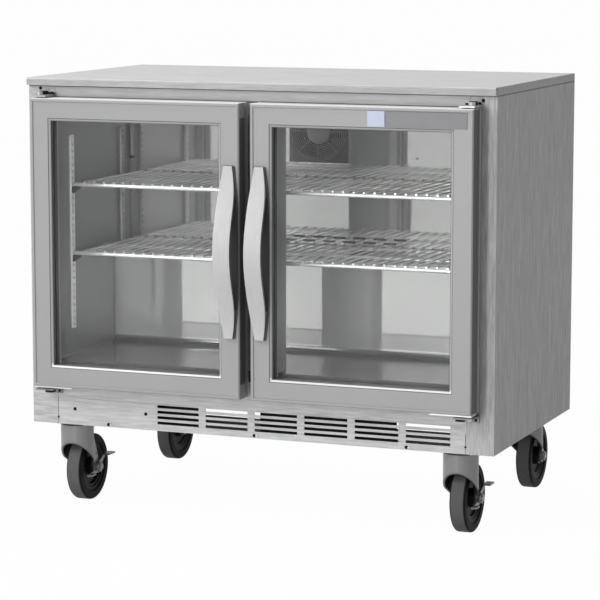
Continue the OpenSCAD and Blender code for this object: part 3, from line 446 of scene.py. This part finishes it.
# moulded plastics, rubber, paint and foam
softLooks = {
    "blackPlastic": {"tone": (0.012, 0.012, 0.013), "vary": 0.25, "rough": 0.45, "grain": 900, "bump": 0.1,
                     "shine": 0.08},
    "fanPlastic": {"tone": (0.05, 0.05, 0.051), "vary": 0.2, "rough": 0.45, "grain": 900, "bump": 0.08},
    "clipPlastic": {"tone": (0.028, 0.028, 0.029), "vary": 0.25, "rough": 0.5, "grain": 900, "bump": 0.1},
    "gasketRubber": {"tone": (0.022, 0.022, 0.023), "vary": 0.3, "rough": 0.65, "grain": 600, "bump": 0.1},
    "edgeTrim": {"tone": (0.11, 0.11, 0.112), "vary": 0.12, "rough": 0.48, "grain": 700, "bump": 0.06},
    "hubPlastic": {"tone": (0.012, 0.012, 0.013), "vary": 0.25, "rough": 0.42, "grain": 500, "bump": 0.08,
                   "shine": 0.06},
    "compressorPaint": {"tone": (0.016, 0.016, 0.017), "vary": 0.25, "rough": 0.35, "grain": 300, "bump": 0.05},
    "foamYellow": {"tone": (0.70, 0.60, 0.35), "vary": 0.12, "rough": 0.9, "grain": 160, "bump": 0.4},
    "copperTube": {"tone": (0.42, 0.19, 0.11), "vary": 0.2, "rough": 0.4, "grain": 200, "bump": 0.05},
    "plateGrey": {"tone": (0.25, 0.25, 0.26), "vary": 0.10, "rough": 0.5, "grain": 1300, "bump": 0.05},
    "plateBlue": {"tone": (0.50, 0.55, 0.67), "vary": 0.03, "rough": 0.35, "grain": 700, "bump": 0.02},
}
softShine = 0.25
softRough = (0.88, 1.1)  # shares of a look's roughness, from the cloud's dark to its light


def softSurface(tree, shader, look, m):
    rough = spread(tree, m["cloud"], *(look["rough"] * share for share in softRough))
    tree.links.new(rough, shader.inputs["Roughness"])
    bumpBy(tree, m["grain"], look["bump"], softBump, shader)
    setConstants(shader, {"shine": softShine, **look})


def softFinish(name, look):
    mat, tree, shader = startFinish(name)
    m = mottle(tree, look["grain"], softCloud)
    tintAround(tree, m["both"], look, look["tone"], shader)
    softSurface(tree, shader, look, m)
    return mat


# tyre rubber: a lighter tread between two darker side walls
tyreLook = {
    "tread": 0.112, "wall": 0.012, "middle": 0.3835, "half": 0.0118, "edgeSoft": 0.001, "vary": 0.15,
    "rough": 0.62, "grain": 420, "bump": 0.15, "shine": 0.06,
}


def tyreFinish(name, look):
    mat, tree, shader = startFinish(name)
    side = rise(tree, sideways(tree, look["middle"]), look["half"], look["edgeSoft"])
    m = mottle(tree, look["grain"], softCloud)
    tread, wall = [around(tree, m["both"], look[n], look["vary"]) for n in ("tread", "wall")]
    greyInto(tree, blend(tree, side, tread, wall), shader)
    softSurface(tree, shader, look, m)
    return mat


# caster zinc: bright outside, with painted shade inside the round front of each fork
casterLook = {
    "tone": 0.22, "inside": 0.035, "metal": 0.2, "rough": 0.3, "speckle": 0.04, "vary": 0.03, "grain": 240,
    "bump": 0.01, "middle": 0.3835, "front": -0.19205, "rear": 0.22225, "radius": 0.0306,
}


def casterFinish(name, look):
    mat, tree, shader = startFinish(name)
    ends = [awayFrom(tree, placeOf(tree, "Y"), look[end]) for end in ("front", "rear")]
    flat = tree.nodes.new("ShaderNodeCombineXYZ")
    tree.links.new(sideways(tree, look["middle"]), flat.inputs["X"])
    tree.links.new(mathOf(tree, "MINIMUM", *ends), flat.inputs["Y"])
    reach = tree.nodes.new("ShaderNodeVectorMath")
    reach.operation = "LENGTH"
    tree.links.new(flat.outputs["Vector"], reach.inputs[0])
    outer = rise(tree, reach.outputs["Value"], look["radius"], placeSoft)
    m = mottle(tree, look["grain"], metalCloud)
    dark, bright = [around(tree, m["both"], look[n], look["vary"]) for n in ("inside", "tone")]
    # the inside tone is painted shade inside each fork's round front
    greyInto(tree, blend(tree, outer, dark, bright), shader)
    tree.links.new(around(tree, m["grain"], look["rough"], look["speckle"]), shader.inputs["Roughness"])
    bumpBy(tree, m["grain"], look["bump"], fineBump, shader)
    setConstants(shader, look)
    return mat


# door glass: clear, and open to the lamps so that the shelves are lit
glassLook = {
    "dark": (0.95, 0.955, 0.95), "light": (0.97, 0.975, 0.97), "cloud": (5.0, 2.0), "rough": 0.0, "bend": 1.25,
}


def glassFinish(name, look):
    mat, tree, shader = startFinish(name)
    tintBy(tree, evenNoise(tree, *look["cloud"]), look["dark"], look["light"], shader)
    shader.inputs["Transmission Weight"].default_value = 1.0
    shader.inputs["Roughness"].default_value = look["rough"]
    shader.inputs["IOR"].default_value = look["bend"]
    clear = tree.nodes.new("ShaderNodeBsdfTransparent")
    path = tree.nodes.new("ShaderNodeLightPath")
    mixShaders(tree, path.outputs["Is Shadow Ray"], shader, clear)
    return mat


finishPlan = (
    (brushedFinish, brushedLooks),
    (satinFinish, satinLooks),
    (linerFinish, linerLooks),
    (softFinish, softLooks),
    (depthFinish, depthLooks),
    (doorFinish, {"doorAluminium": doorLook}),
    (tyreFinish, {"tyreRubber": tyreLook}),
    (casterFinish, {"casterZinc": casterLook}),
    (glassFinish, {"doorGlass": glassLook}),
)
finishes = {name: make(name, look) for make, looks in finishPlan for name, look in looks.items()}
print("finishes made:", len(finishes))


# which finish each CAD node wears
nodeFinish = {
    "worktopSteel": ["worktop"],
    "frontSteel": ["kick_grille"],
    "sillSteel": ["sill"],
    "railSteel": ["top_rail"],
    "leftSteel": ["left_side_panel"],
    "rightSteel": ["right_side_panel"],
    "backSteel": ["back_panel", "rear_grille"],
    "hingeSteel": ["top_hinge_brackets"],
    "leafSteel": ["left_hinge_leaf", "right_hinge_leaf"],
    "bracketSteel": ["bottom_hinge_brackets"],
    "handleFace": ["left_handle_face", "right_handle_face"],
    "pilasterSteel": ["shelf_pilasters"],
    "doorAluminium": ["left_door_frame", "right_door_frame"],
    "linerAluminium": ["liner"],
    "coverAluminium": ["evaporator_cover"],
    "mullionSteel": ["centre_mullion"],
    "galvanised": ["base_channels", "drain_trough", "condenser_fan_shroud"],
    "baySteel": ["bay_liner", "machine_tray"],
    "finAluminium": ["condenser_fan_blade"],
    "coilDark": ["evaporator_coil"],
    "shelfWire": ["upper_shelf", "lower_shelf"],
    "guardWire": ["fan_guard"],
    "casterZinc": ["caster_plates", "fork_front_left", "fork_front_right", "fork_rear_left", "fork_rear_right"],
    "brakeSteel": ["brake_front_left", "brake_front_right"],
    "spacerAluminium": ["left_door_spacer", "right_door_spacer"],
    "blackPlastic": ["evaporator_fan_blade", "control_box"],
    "fanPlastic": ["evaporator_fan_frame"],
    "clipPlastic": ["shelf_clips"],
    "gasketRubber": ["left_door_gasket", "right_door_gasket"],
    "handleBody": ["left_handle", "right_handle"],
    "hubPlastic": ["hub_front_left", "hub_front_right", "hub_rear_left", "hub_rear_right"],
    "tyreRubber": ["tyre_front_left", "tyre_front_right", "tyre_rear_left", "tyre_rear_right"],
    "compressorPaint": ["compressor"],
    "foamYellow": ["foam_walls"],
    "copperTube": ["condenser_coil"],
    "doorGlass": ["left_door_glass", "right_door_glass"],
}


def wear(mesh, finish):
    mesh.materials.clear()
    mesh.materials.append(finishes[finish])


def dressNodes(plan):
    for finish, names in plan.items():
        for name in names:
            wear(nodes[name].data, finish)


dressNodes(nodeFinish)
bare = sorted(set(nodes) - {n for names in nodeFinish.values() for n in names})
print("nodes dressed, bare:", bare)


# measured points and the sizes of new pieces are in mm, from the cabinet's lower left front corner
cabinetCorner = {"left": -0.457, "front": -0.23275, "base": 0.1591}
mmInMetre = 1000
straight = 0.99  # how nearly a face has to look one way to count as facing it


def metres(mm):
    return mm / mmInMetre


def atMm(x, y, z):
    c = cabinetCorner
    return Vector((c["left"] + metres(x), c["front"] + metres(y), c["base"] + metres(z)))


facing = {
    "front": Matrix.Rotation(math.radians(90), 4, "X"),
    "back": Matrix.Rotation(math.radians(-90), 4, "X"),
    "down": Matrix.Rotation(math.radians(180), 4, "X"),
}


# small helpers for modelling; the piece at work is the active one
def applyPlace():
    bpy.ops.object.transform_apply(location=True, rotation=True, scale=True)


def pickFaces(piece, test):
    bpy.ops.object.mode_set(mode="EDIT")
    bpy.ops.mesh.select_mode(type="FACE")
    bpy.ops.mesh.select_all(action="DESELECT")
    bpy.ops.object.mode_set(mode="OBJECT")
    for face in piece.data.polygons:
        face.select = test(face)
    bpy.ops.object.mode_set(mode="EDIT")


def roundFaces(piece, test, edge):
    pickFaces(piece, test)
    bpy.ops.mesh.bevel(offset=metres(edge), segments=2, affect="EDGES")
    bpy.ops.object.mode_set(mode="OBJECT")


def smoothBy(angle):
    bpy.ops.object.shade_smooth_by_angle(angle=math.radians(angle))


def copyTo(model, matrix):
    piece = model.copy()
    piece.data = model.data.copy()
    piece.data.transform(matrix)
    bpy.context.collection.objects.link(piece)
    return piece


def settle(piece, name, finish, body):
    piece.name = name
    piece.data.name = name
    wear(piece.data, finish)
    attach(piece, body)


# screw and rivet heads: a turned head with a rolled edge and a driving recess
headLooks = {
    "plug": {"radius": 3.2, "height": 1.2, "dome": 0.72, "recess": 0.0, "sides": 24},
    "panHead": {"radius": 3.6, "height": 2.0, "dome": 0.7, "recess": 0.9, "sides": 20},
    "tinyHead": {"radius": 1.9, "height": 1.2, "dome": 0.76, "recess": 0.6, "sides": 16},
    "smallHead": {"radius": 2.4, "height": 1.8, "dome": 0.74, "recess": 0.8, "sides": 20},
    "hexHead": {"radius": 5.6, "height": 3.6, "dome": 0.82, "recess": 0.0, "sides": 6},
}
headShape = {"shank": 0.6, "rim": 0.28, "taper": 0.8}  # shares of the height, the radius and the recess


def modelHead(look):
    s = headShape
    r, h = metres(look["radius"]), metres(look["height"])
    shank = h * s["shank"]
    bpy.ops.mesh.primitive_cylinder_add(
        vertices=look["sides"], radius=r, depth=shank, location=(0, 0, shank / 2)
    )
    head = bpy.context.object
    applyPlace()
    pickFaces(head, lambda face: face.normal.z > straight)
    bpy.ops.mesh.extrude_region_move(TRANSFORM_OT_translate={"value": (0, 0, h - shank)})
    bpy.ops.transform.resize(value=(look["dome"], look["dome"], 1), center_override=(0, 0, h))
    bpy.ops.mesh.inset(thickness=r * s["rim"], depth=0)
    if look["recess"]:
        bpy.ops.mesh.extrude_region_move(TRANSFORM_OT_translate={"value": (0, 0, -metres(look["recess"]))})
        bpy.ops.transform.resize(value=(s["taper"], s["taper"], 1), center_override=(0, 0, 0))
    bpy.ops.object.mode_set(mode="OBJECT")
    return head


darkFront = ("front", "blackPlastic", "black_plastic")
zincFront = ("front", "boltZinc", "hinge_steel")
zincBack = ("back", "boltZinc", "hinge_steel")
headSpots = {
    "postPlug": ("plug", *darkFront, [(24.3, 0, 634), (888, 0, 631)]),
    "grillePlug": ("plug", *darkFront, [(87.6, 0, 30.2), (234.6, 0, 30.2)]),
    "seamPlug": ("tinyHead", *darkFront, [(53, 0, 13), (861, 0, 13)]),
    "grilleClip": ("plug", *darkFront, [(157.4, 0, 4.9), (453.7, 0, 4.9), (749.7, 0, 4.9)]),
    "grilleRivet": ("smallHead", *zincFront, [(162.2, 0, 4.9), (458.5, 0, 4.9), (754.5, 0, 4.9)]),
    "topHingeScrew": ("smallHead", *darkFront,
                      [(31, -3, 626), (50, -3, 626), (864, -3, 626), (883, -3, 626)]),
    "lowHingeScrew": ("smallHead", *darkFront,
                      [(33, -3, 63.5), (57, -3, 63.5), (857, -3, 63.5), (881, -3, 63.5)]),
    "pivotBolt": ("hexHead", "down", "boltZinc", "hinge_steel", [(37.2, -30, 70.2), (876.8, -30, 70.2)]),
    "coverScrew": ("tinyHead", *darkFront,
                   [(257, 325, 496), (657, 325, 496), (257, 325, 309), (657, 325, 309)]),
    "rearGrilleScrew": ("panHead", *zincBack,
                        [(x, 500, z) for z in (16, 240) for x in (32, 457, 882)]),
    "backScrew": ("panHead", *zincBack,
                  [(x, 500, z) for z in (262, 450) for x in (32, 882)]
                  + [(x, 500, 628) for x in (32, 240, 457, 674, 882)]),
}
casterBolts = {
    "reach": 27.5, "level": 1.0, "sideways": 73.5, "front": 40.7, "rear": 455, "cabinetWidth": 914,
}


def casterBoltSpots(c):
    return [
        (x + a * c["reach"], y + b * c["reach"], c["level"])
        for x in (c["sideways"], c["cabinetWidth"] - c["sideways"])
        for y in (c["front"], c["rear"])
        for a in (-1, 1)
        for b in (-1, 1)
    ]


headSpots["casterBolt"] = ("hexHead", "down", "boltZinc", "caster_zinc", casterBoltSpots(casterBolts))


def placeHeads(spots):
    models = {kind: modelHead(look) for kind, look in headLooks.items()}
    count = 0
    for name, (kind, way, finish, slot, places) in spots.items():
        for i, place in enumerate(places):
            piece = copyTo(models[kind], Matrix.Translation(atMm(*place)) @ facing[way])
            settle(piece, f"{name}{i + 1}", finish, "cabinet")
            count += 1
    for model in models.values():
        bpy.data.objects.remove(model)
    return count


print("screw heads placed:", placeHeads(headSpots))


# blocks and plates: a box at its size and place, its edges rounded, one face inset
def modelBlock(low, high, edge, rings=2):
    a, b = atMm(*low), atMm(*high)
    bpy.ops.mesh.primitive_cube_add(size=1, location=(a + b) / 2, scale=b - a)
    block = bpy.context.object
    applyPlace()
    bpy.ops.object.mode_set(mode="EDIT")
    bpy.ops.mesh.select_mode(type="EDGE")
    bpy.ops.mesh.select_all(action="SELECT")
    bpy.ops.mesh.bevel(offset=metres(edge), segments=rings, affect="EDGES")
    bpy.ops.object.mode_set(mode="OBJECT")
    return block


def sinkFace(block, way, p):
    def faces(face):
        return face.normal.dot(Vector(way)) > straight

    widest = max(face.area for face in block.data.polygons if faces(face))
    pickFaces(block, lambda face: faces(face) and face.area > widest * straight)
    bpy.ops.mesh.inset(thickness=metres(p["margin"]), depth=-metres(p["sink"]))
    bpy.ops.object.mode_set(mode="OBJECT")


# bare name plate on the right door's top rail, with its plain square beside it
namePlate = {
    "edge": 0.4, "front": -51.3, "back": -49.9, "low": 583.6, "high": 611.6,
    "pieces": {
        "namePlate": {"from": 724.5, "to": 875.0, "margin": 0.9, "sink": 0.25, "finish": "plateGrey"},
        "nameSquare": {"from": 691.0, "to": 723.3, "margin": 0.7, "sink": 0.2, "finish": "plateBlue"},
    },
}


def makeNamePlate(n):
    for name, p in n["pieces"].items():
        plate = modelBlock((p["from"], n["front"], n["low"]), (p["to"], n["back"], n["high"]), n["edge"])
        sinkFace(plate, (0, -1, 0), p)
        settle(plate, name, p["finish"], "right_door")


makeNamePlate(namePlate)
print("name plate left bare")


# black blocks at the hinges, measured in from the door's outer edge: two behind each top pin and one under each
# bottom ear, dark parts that also stand in for the shade there
hingeBlocks = {
    "doorEdges": ((27.2, 1), (886.8, -1)), "edge": 0.8, "margin": 2.0, "sink": 0.9,
    "blocks": {
        "hingeShadeBlockUpper": {"from": 5.0, "to": 18.5, "front": -22.8, "back": -10.5, "low": 623.5, "high": 630.2},
        "hingeShadeBlockRear": {"from": 15.0, "to": 28.0, "front": -12.0, "back": -3.0, "low": 623.5, "high": 627.0},
        "hingeShadeBlockLower": {"from": 17.5, "to": 33.0, "front": -38.0, "back": -24.0, "low": 65.5, "high": 70.2},
    },
}


def makeHingeBlocks(h):
    for name, b in h["blocks"].items():
        for i, (x, way) in enumerate(h["doorEdges"]):
            x0, x1 = sorted((x + way * b["from"], x + way * b["to"]))
            block = modelBlock((x0, b["front"], b["low"]), (x1, b["back"], b["high"]), h["edge"])
            sinkFace(block, (0, 0, 1), h)
            settle(block, f"{name}{i + 1}", "blackPlastic", "cabinet")


makeHingeBlocks(hingeBlocks)
print("hinge blocks made")


# black sheets hung behind the kick grille, which close all but two of its windows: painted shade for the
# machine bay behind them
bayShadeSheets = {
    "spans": ((240.0, 332.0), (455.0, 722.0)), "front": 26.0, "back": 28.0, "low": 8.0, "high": 74.9,
    "edge": 0.5, "margin": 4.0, "sink": 0.4,
}


def makeBayShadeSheets(b):
    for i, (x0, x1) in enumerate(b["spans"]):
        sheet = modelBlock((x0, b["front"], b["low"]), (x1, b["back"], b["high"]), b["edge"])
        sinkFace(sheet, (0, -1, 0), b)
        settle(sheet, f"bayShadeSheet{i + 1}", "blackPlastic", "cabinet")


makeBayShadeSheets(bayShadeSheets)
print("air baffles made")


# bright handle faces: a bowed strip, smoother than the node it stands for
handleStrip = {
    "middles": {"left_handle_face": (426.8, "left_door"), "right_handle_face": (487.2, "right_door")},
    "height": 349.0, "length": 314.0, "plane": -52.0, "foot": 6.5, "reach": 39.0,
    "endWidth": 17.4, "midWidth": 32.8, "flare": 80.0, "thick": 1.5, "rows": 120, "columns": 4,
    "edge": 0.6, "edgeRings": 3, "edgeAngle": 50, "smooth": 35, "sameLevel": 0.01,
}


def stripRow(h, z):
    bow = h["foot"] + (h["reach"] - h["foot"]) * (1 + math.cos(2 * math.pi * z / h["length"])) / 2
    opening = min(1.0, (h["length"] / 2 - abs(z)) / h["flare"])
    width = h["endWidth"] + (h["midWidth"] - h["endWidth"]) * math.sin(math.pi / 2 * opening)
    return bow, width


def modelStrip(h):
    bpy.ops.mesh.primitive_grid_add(
        x_subdivisions=h["columns"], y_subdivisions=h["rows"], size=1, rotation=(math.radians(90), 0, 0)
    )
    strip = bpy.context.object
    strip.scale = (metres(1), metres(h["length"]), 1)
    applyPlace()
    for level in sorted({round(v.co.z, 6) for v in strip.data.vertices}):
        bow, width = stripRow(h, level * mmInMetre)
        bpy.ops.object.mode_set(mode="EDIT")
        bpy.ops.mesh.select_mode(type="VERT")
        bpy.ops.mesh.select_all(action="DESELECT")
        bpy.ops.object.mode_set(mode="OBJECT")
        for v in strip.data.vertices:
            v.select = abs(v.co.z - level) < metres(h["sameLevel"])
        bpy.ops.object.mode_set(mode="EDIT")
        bpy.ops.transform.resize(value=(width, 1, 1), center_override=(0, 0, level))
        bpy.ops.transform.translate(value=(0, -metres(bow), 0))
    bpy.ops.mesh.select_all(action="SELECT")
    bpy.ops.mesh.extrude_region_move(TRANSFORM_OT_translate={"value": (0, metres(h["thick"]), 0)})
    bpy.ops.mesh.select_all(action="SELECT")
    bpy.ops.mesh.normals_make_consistent(inside=False)
    bpy.ops.object.mode_set(mode="OBJECT")
    rounding = strip.modifiers.new("rounding", "BEVEL")
    rounding.width = metres(h["edge"])
    rounding.segments = h["edgeRings"]
    rounding.limit_method = "ANGLE"
    rounding.angle_limit = math.radians(h["edgeAngle"])
    bpy.ops.object.modifier_apply(modifier=rounding.name)
    smoothBy(h["smooth"])
    return strip


def makeHandleFaces(h):
    model = modelStrip(h)
    for node, (x, body) in h["middles"].items():
        piece = copyTo(model, Matrix.Translation(atMm(x, h["plane"], h["height"])))
        settle(piece, node.split("_")[0] + "HandleStrip", "handleFace", body)
        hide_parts(node)
    bpy.data.objects.remove(model)


makeHandleFaces(handleStrip)
print("handle faces made")


# fan guard: close rings round a plain middle disc, on eight spokes
fanGuard = {
    "inner": 28.0, "outer": 56.4, "rings": 8, "wire": 0.95, "ringSides": 8, "slices": 72,
    "spokes": 8, "spokeWire": 1.1, "spokeSides": 10, "overlap": 1, "lift": 0.57,
    "disc": 24.5, "thick": 2.2, "edge": 0.7, "margin": 4.9, "sink": 0.4, "smooth": 40,
}


def addRing(g, radius):
    bpy.ops.mesh.primitive_torus_add(
        major_radius=metres(radius), minor_radius=metres(g["wire"]),
        major_segments=g["slices"], minor_segments=g["ringSides"],
    )
    return bpy.context.object


def addSpoke(g, angle):
    span = g["outer"] - g["disc"] + g["overlap"]
    middle = metres((g["outer"] + g["disc"]) / 2)
    bpy.ops.mesh.primitive_cylinder_add(
        vertices=g["spokeSides"], radius=metres(g["spokeWire"]), depth=metres(span),
        location=(middle * math.cos(angle), middle * math.sin(angle), metres(g["lift"])),
        rotation=(0, math.radians(90), angle),
    )
    return bpy.context.object


def addDisc(g):
    bpy.ops.mesh.primitive_cylinder_add(
        vertices=g["slices"], radius=metres(g["disc"]), depth=metres(g["thick"])
    )
    disc = bpy.context.object
    roundFaces(disc, lambda face: abs(face.normal.z) > straight, g["edge"])
    sinkFace(disc, (0, 0, 1), g)
    return disc


def makeFanGuard(g):
    low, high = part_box("fan_guard")
    step = (g["outer"] - g["inner"]) / (g["rings"] - 1)
    parts = [addRing(g, g["inner"] + i * step) for i in range(g["rings"])]
    parts += [addSpoke(g, 2 * math.pi * i / g["spokes"]) for i in range(g["spokes"])]
    guard = addDisc(g)
    for part in parts:
        part.select_set(True)
    bpy.ops.object.join()
    applyPlace()
    smoothBy(g["smooth"])
    guard.data.transform(Matrix.Translation((Vector(low) + Vector(high)) / 2) @ facing["front"])
    settle(guard, "fanGuardRings", "guardWire", "cabinet")
    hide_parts("fan_guard")


makeFanGuard(fanGuard)
print("fan guard made")


# sensor tube on the left wall behind the rear pilaster, with a black cap on its foot
sensorTube = {
    "x": 58.4, "y": 325.0, "sides": 24, "edge": 0.8, "smooth": 40,
    "pieces": {
        "sensorTube": {"radius": 4.0, "low": 483.0, "high": 605.8, "finish": "tubeSteel",
                       "slot": "hinge_steel"},
        "sensorCap": {"radius": 4.6, "low": 478.0, "high": 484.0, "finish": "blackPlastic",
                      "slot": "black_plastic"},
    },
}


def makeSensorTube(t):
    for name, p in t["pieces"].items():
        bpy.ops.mesh.primitive_cylinder_add(
            vertices=t["sides"], radius=metres(p["radius"]), depth=metres(p["high"] - p["low"]),
            location=atMm(t["x"], t["y"], (p["low"] + p["high"]) / 2),
        )
        tube = bpy.context.object
        applyPlace()
        roundFaces(tube, lambda face: face.normal.z < -straight, t["edge"])
        smoothBy(t["smooth"])
        settle(tube, name, p["finish"], "cabinet")


makeSensorTube(sensorTube)
print("sensor tube made")


# dark edge trim along the upright sides of each door: whole on the hinge side, between the corner pieces on
# the handle side
edgeTrim = {
    "doors": {"left_door": (27.2, 446.2), "right_door": (467.8, 886.8)},
    "hingeSide": {"left_door": "Left", "right_door": "Right"},
    "thick": 0.5, "front": -47.5, "back": -25.5, "whole": (81.5, 616.5), "short": (106.5, 591.5),
    "edge": 0.15, "edgeRings": 1, "margin": 4.0, "sink": 0.2,
}


def makeEdgeTrims(e):
    for body, (x0, x1) in e["doors"].items():
        for side, way, x in (("Left", -1, x0 - e["thick"]), ("Right", 1, x1)):
            low, high = e["whole"] if side == e["hingeSide"][body] else e["short"]
            ends = (x, e["front"], low), (x + e["thick"], e["back"], high)
            trim = modelBlock(*ends, e["edge"], e["edgeRings"])
            sinkFace(trim, (way, 0, 0), e)
            name = body.split("_")[0] + "Door" + side + "Trim"
            settle(trim, name, "edgeTrim", body)


makeEdgeTrims(edgeTrim)
print("door trims made")


# floor, world and lamps
studio = {
    "floorSize": 260.0,
    "floorDrop": 0.0004,
    "floorDark": (0.62, 0.62, 0.62),
    "floorLight": (0.66, 0.66, 0.66),
    "floorCloud": (0.6, 2.0),
    "floorRough": 0.9,
    "floorGlow": 0.98,
    "worldLeft": 0.8,
    "worldRight": 0.08,
    "lamps": {
        "keyLamp": {"place": (-2.8, -3.2, 3.0), "aim": (0, -0.1, 0.4), "wide": 2.0, "tall": 2.0, "power": 90},
        "stripLamp": {"place": (-0.35, -3.6, 0.75), "aim": (0, -0.2, 0.35), "wide": 0.3, "tall": 1.45,
                      "power": 34},
        "topLamp": {"place": (-0.5, -0.2, 3.6), "aim": (0, 0, 0.8), "wide": 2.4, "tall": 2.4, "power": 50},
    },
}


# 1 where the eye, a reflection or the glass looks at the studio, 0 where it lights the part
def seenPlainly(tree):
    path = tree.nodes.new("ShaderNodeLightPath")
    total = path.outputs["Is Camera Ray"]
    for kind in ("Is Glossy Ray", "Is Transmission Ray"):
        total = mathOf(tree, "MAXIMUM", total, path.outputs[kind])
    return total


def makeFloor(s):
    bpy.ops.mesh.primitive_plane_add(size=s["floorSize"], location=(0, 0, -s["floorDrop"]))
    floor = bpy.context.object
    floor.name = "studioFloor"
    mat, tree, shader = startFinish("paleFloor")
    tintBy(tree, evenNoise(tree, *s["floorCloud"]), s["floorDark"], s["floorLight"], shader)
    shader.inputs["Roughness"].default_value = s["floorRough"]
    glow = tree.nodes.new("ShaderNodeEmission")
    share = spread(tree, seenPlainly(tree), 0.0, s["floorGlow"], 0.0, 1.0)
    mixShaders(tree, share, shader, glow)
    mat.cycles.emission_sampling = "NONE"
    floor.data.materials.append(mat)


def makeWorld(s):
    world = bpy.data.worlds.new("paleStudio")
    bpy.context.scene.world = world
    world.use_nodes = True
    tree = world.node_tree
    back = tree.nodes["Background"]
    coord = tree.nodes.new("ShaderNodeTexCoord")
    split = tree.nodes.new("ShaderNodeSeparateXYZ")
    tree.links.new(coord.outputs["Generated"], split.inputs["Vector"])
    fill = spread(tree, split.outputs["X"], s["worldLeft"], s["worldRight"], -1.0, 1.0)
    tree.links.new(blend(tree, seenPlainly(tree), fill, 1.0), back.inputs["Strength"])
    back.inputs["Color"].default_value = (1, 1, 1, 1)


def makeLamps(s):
    for name, lamp in s["lamps"].items():
        aim = Vector(lamp["aim"]) - Vector(lamp["place"])
        bpy.ops.object.light_add(
            type="AREA",
            location=lamp["place"],
            rotation=aim.to_track_quat("-Z", "Y").to_euler(),
        )
        light = bpy.context.object
        light.name = name
        light.data.shape = "RECTANGLE"
        light.data.size = lamp["wide"]
        light.data.size_y = lamp["tall"]
        light.data.energy = lamp["power"]


makeFloor(studio)
makeWorld(studio)
makeLamps(studio)
bpy.context.scene.view_settings.view_transform = "Standard"
print("studio lit")
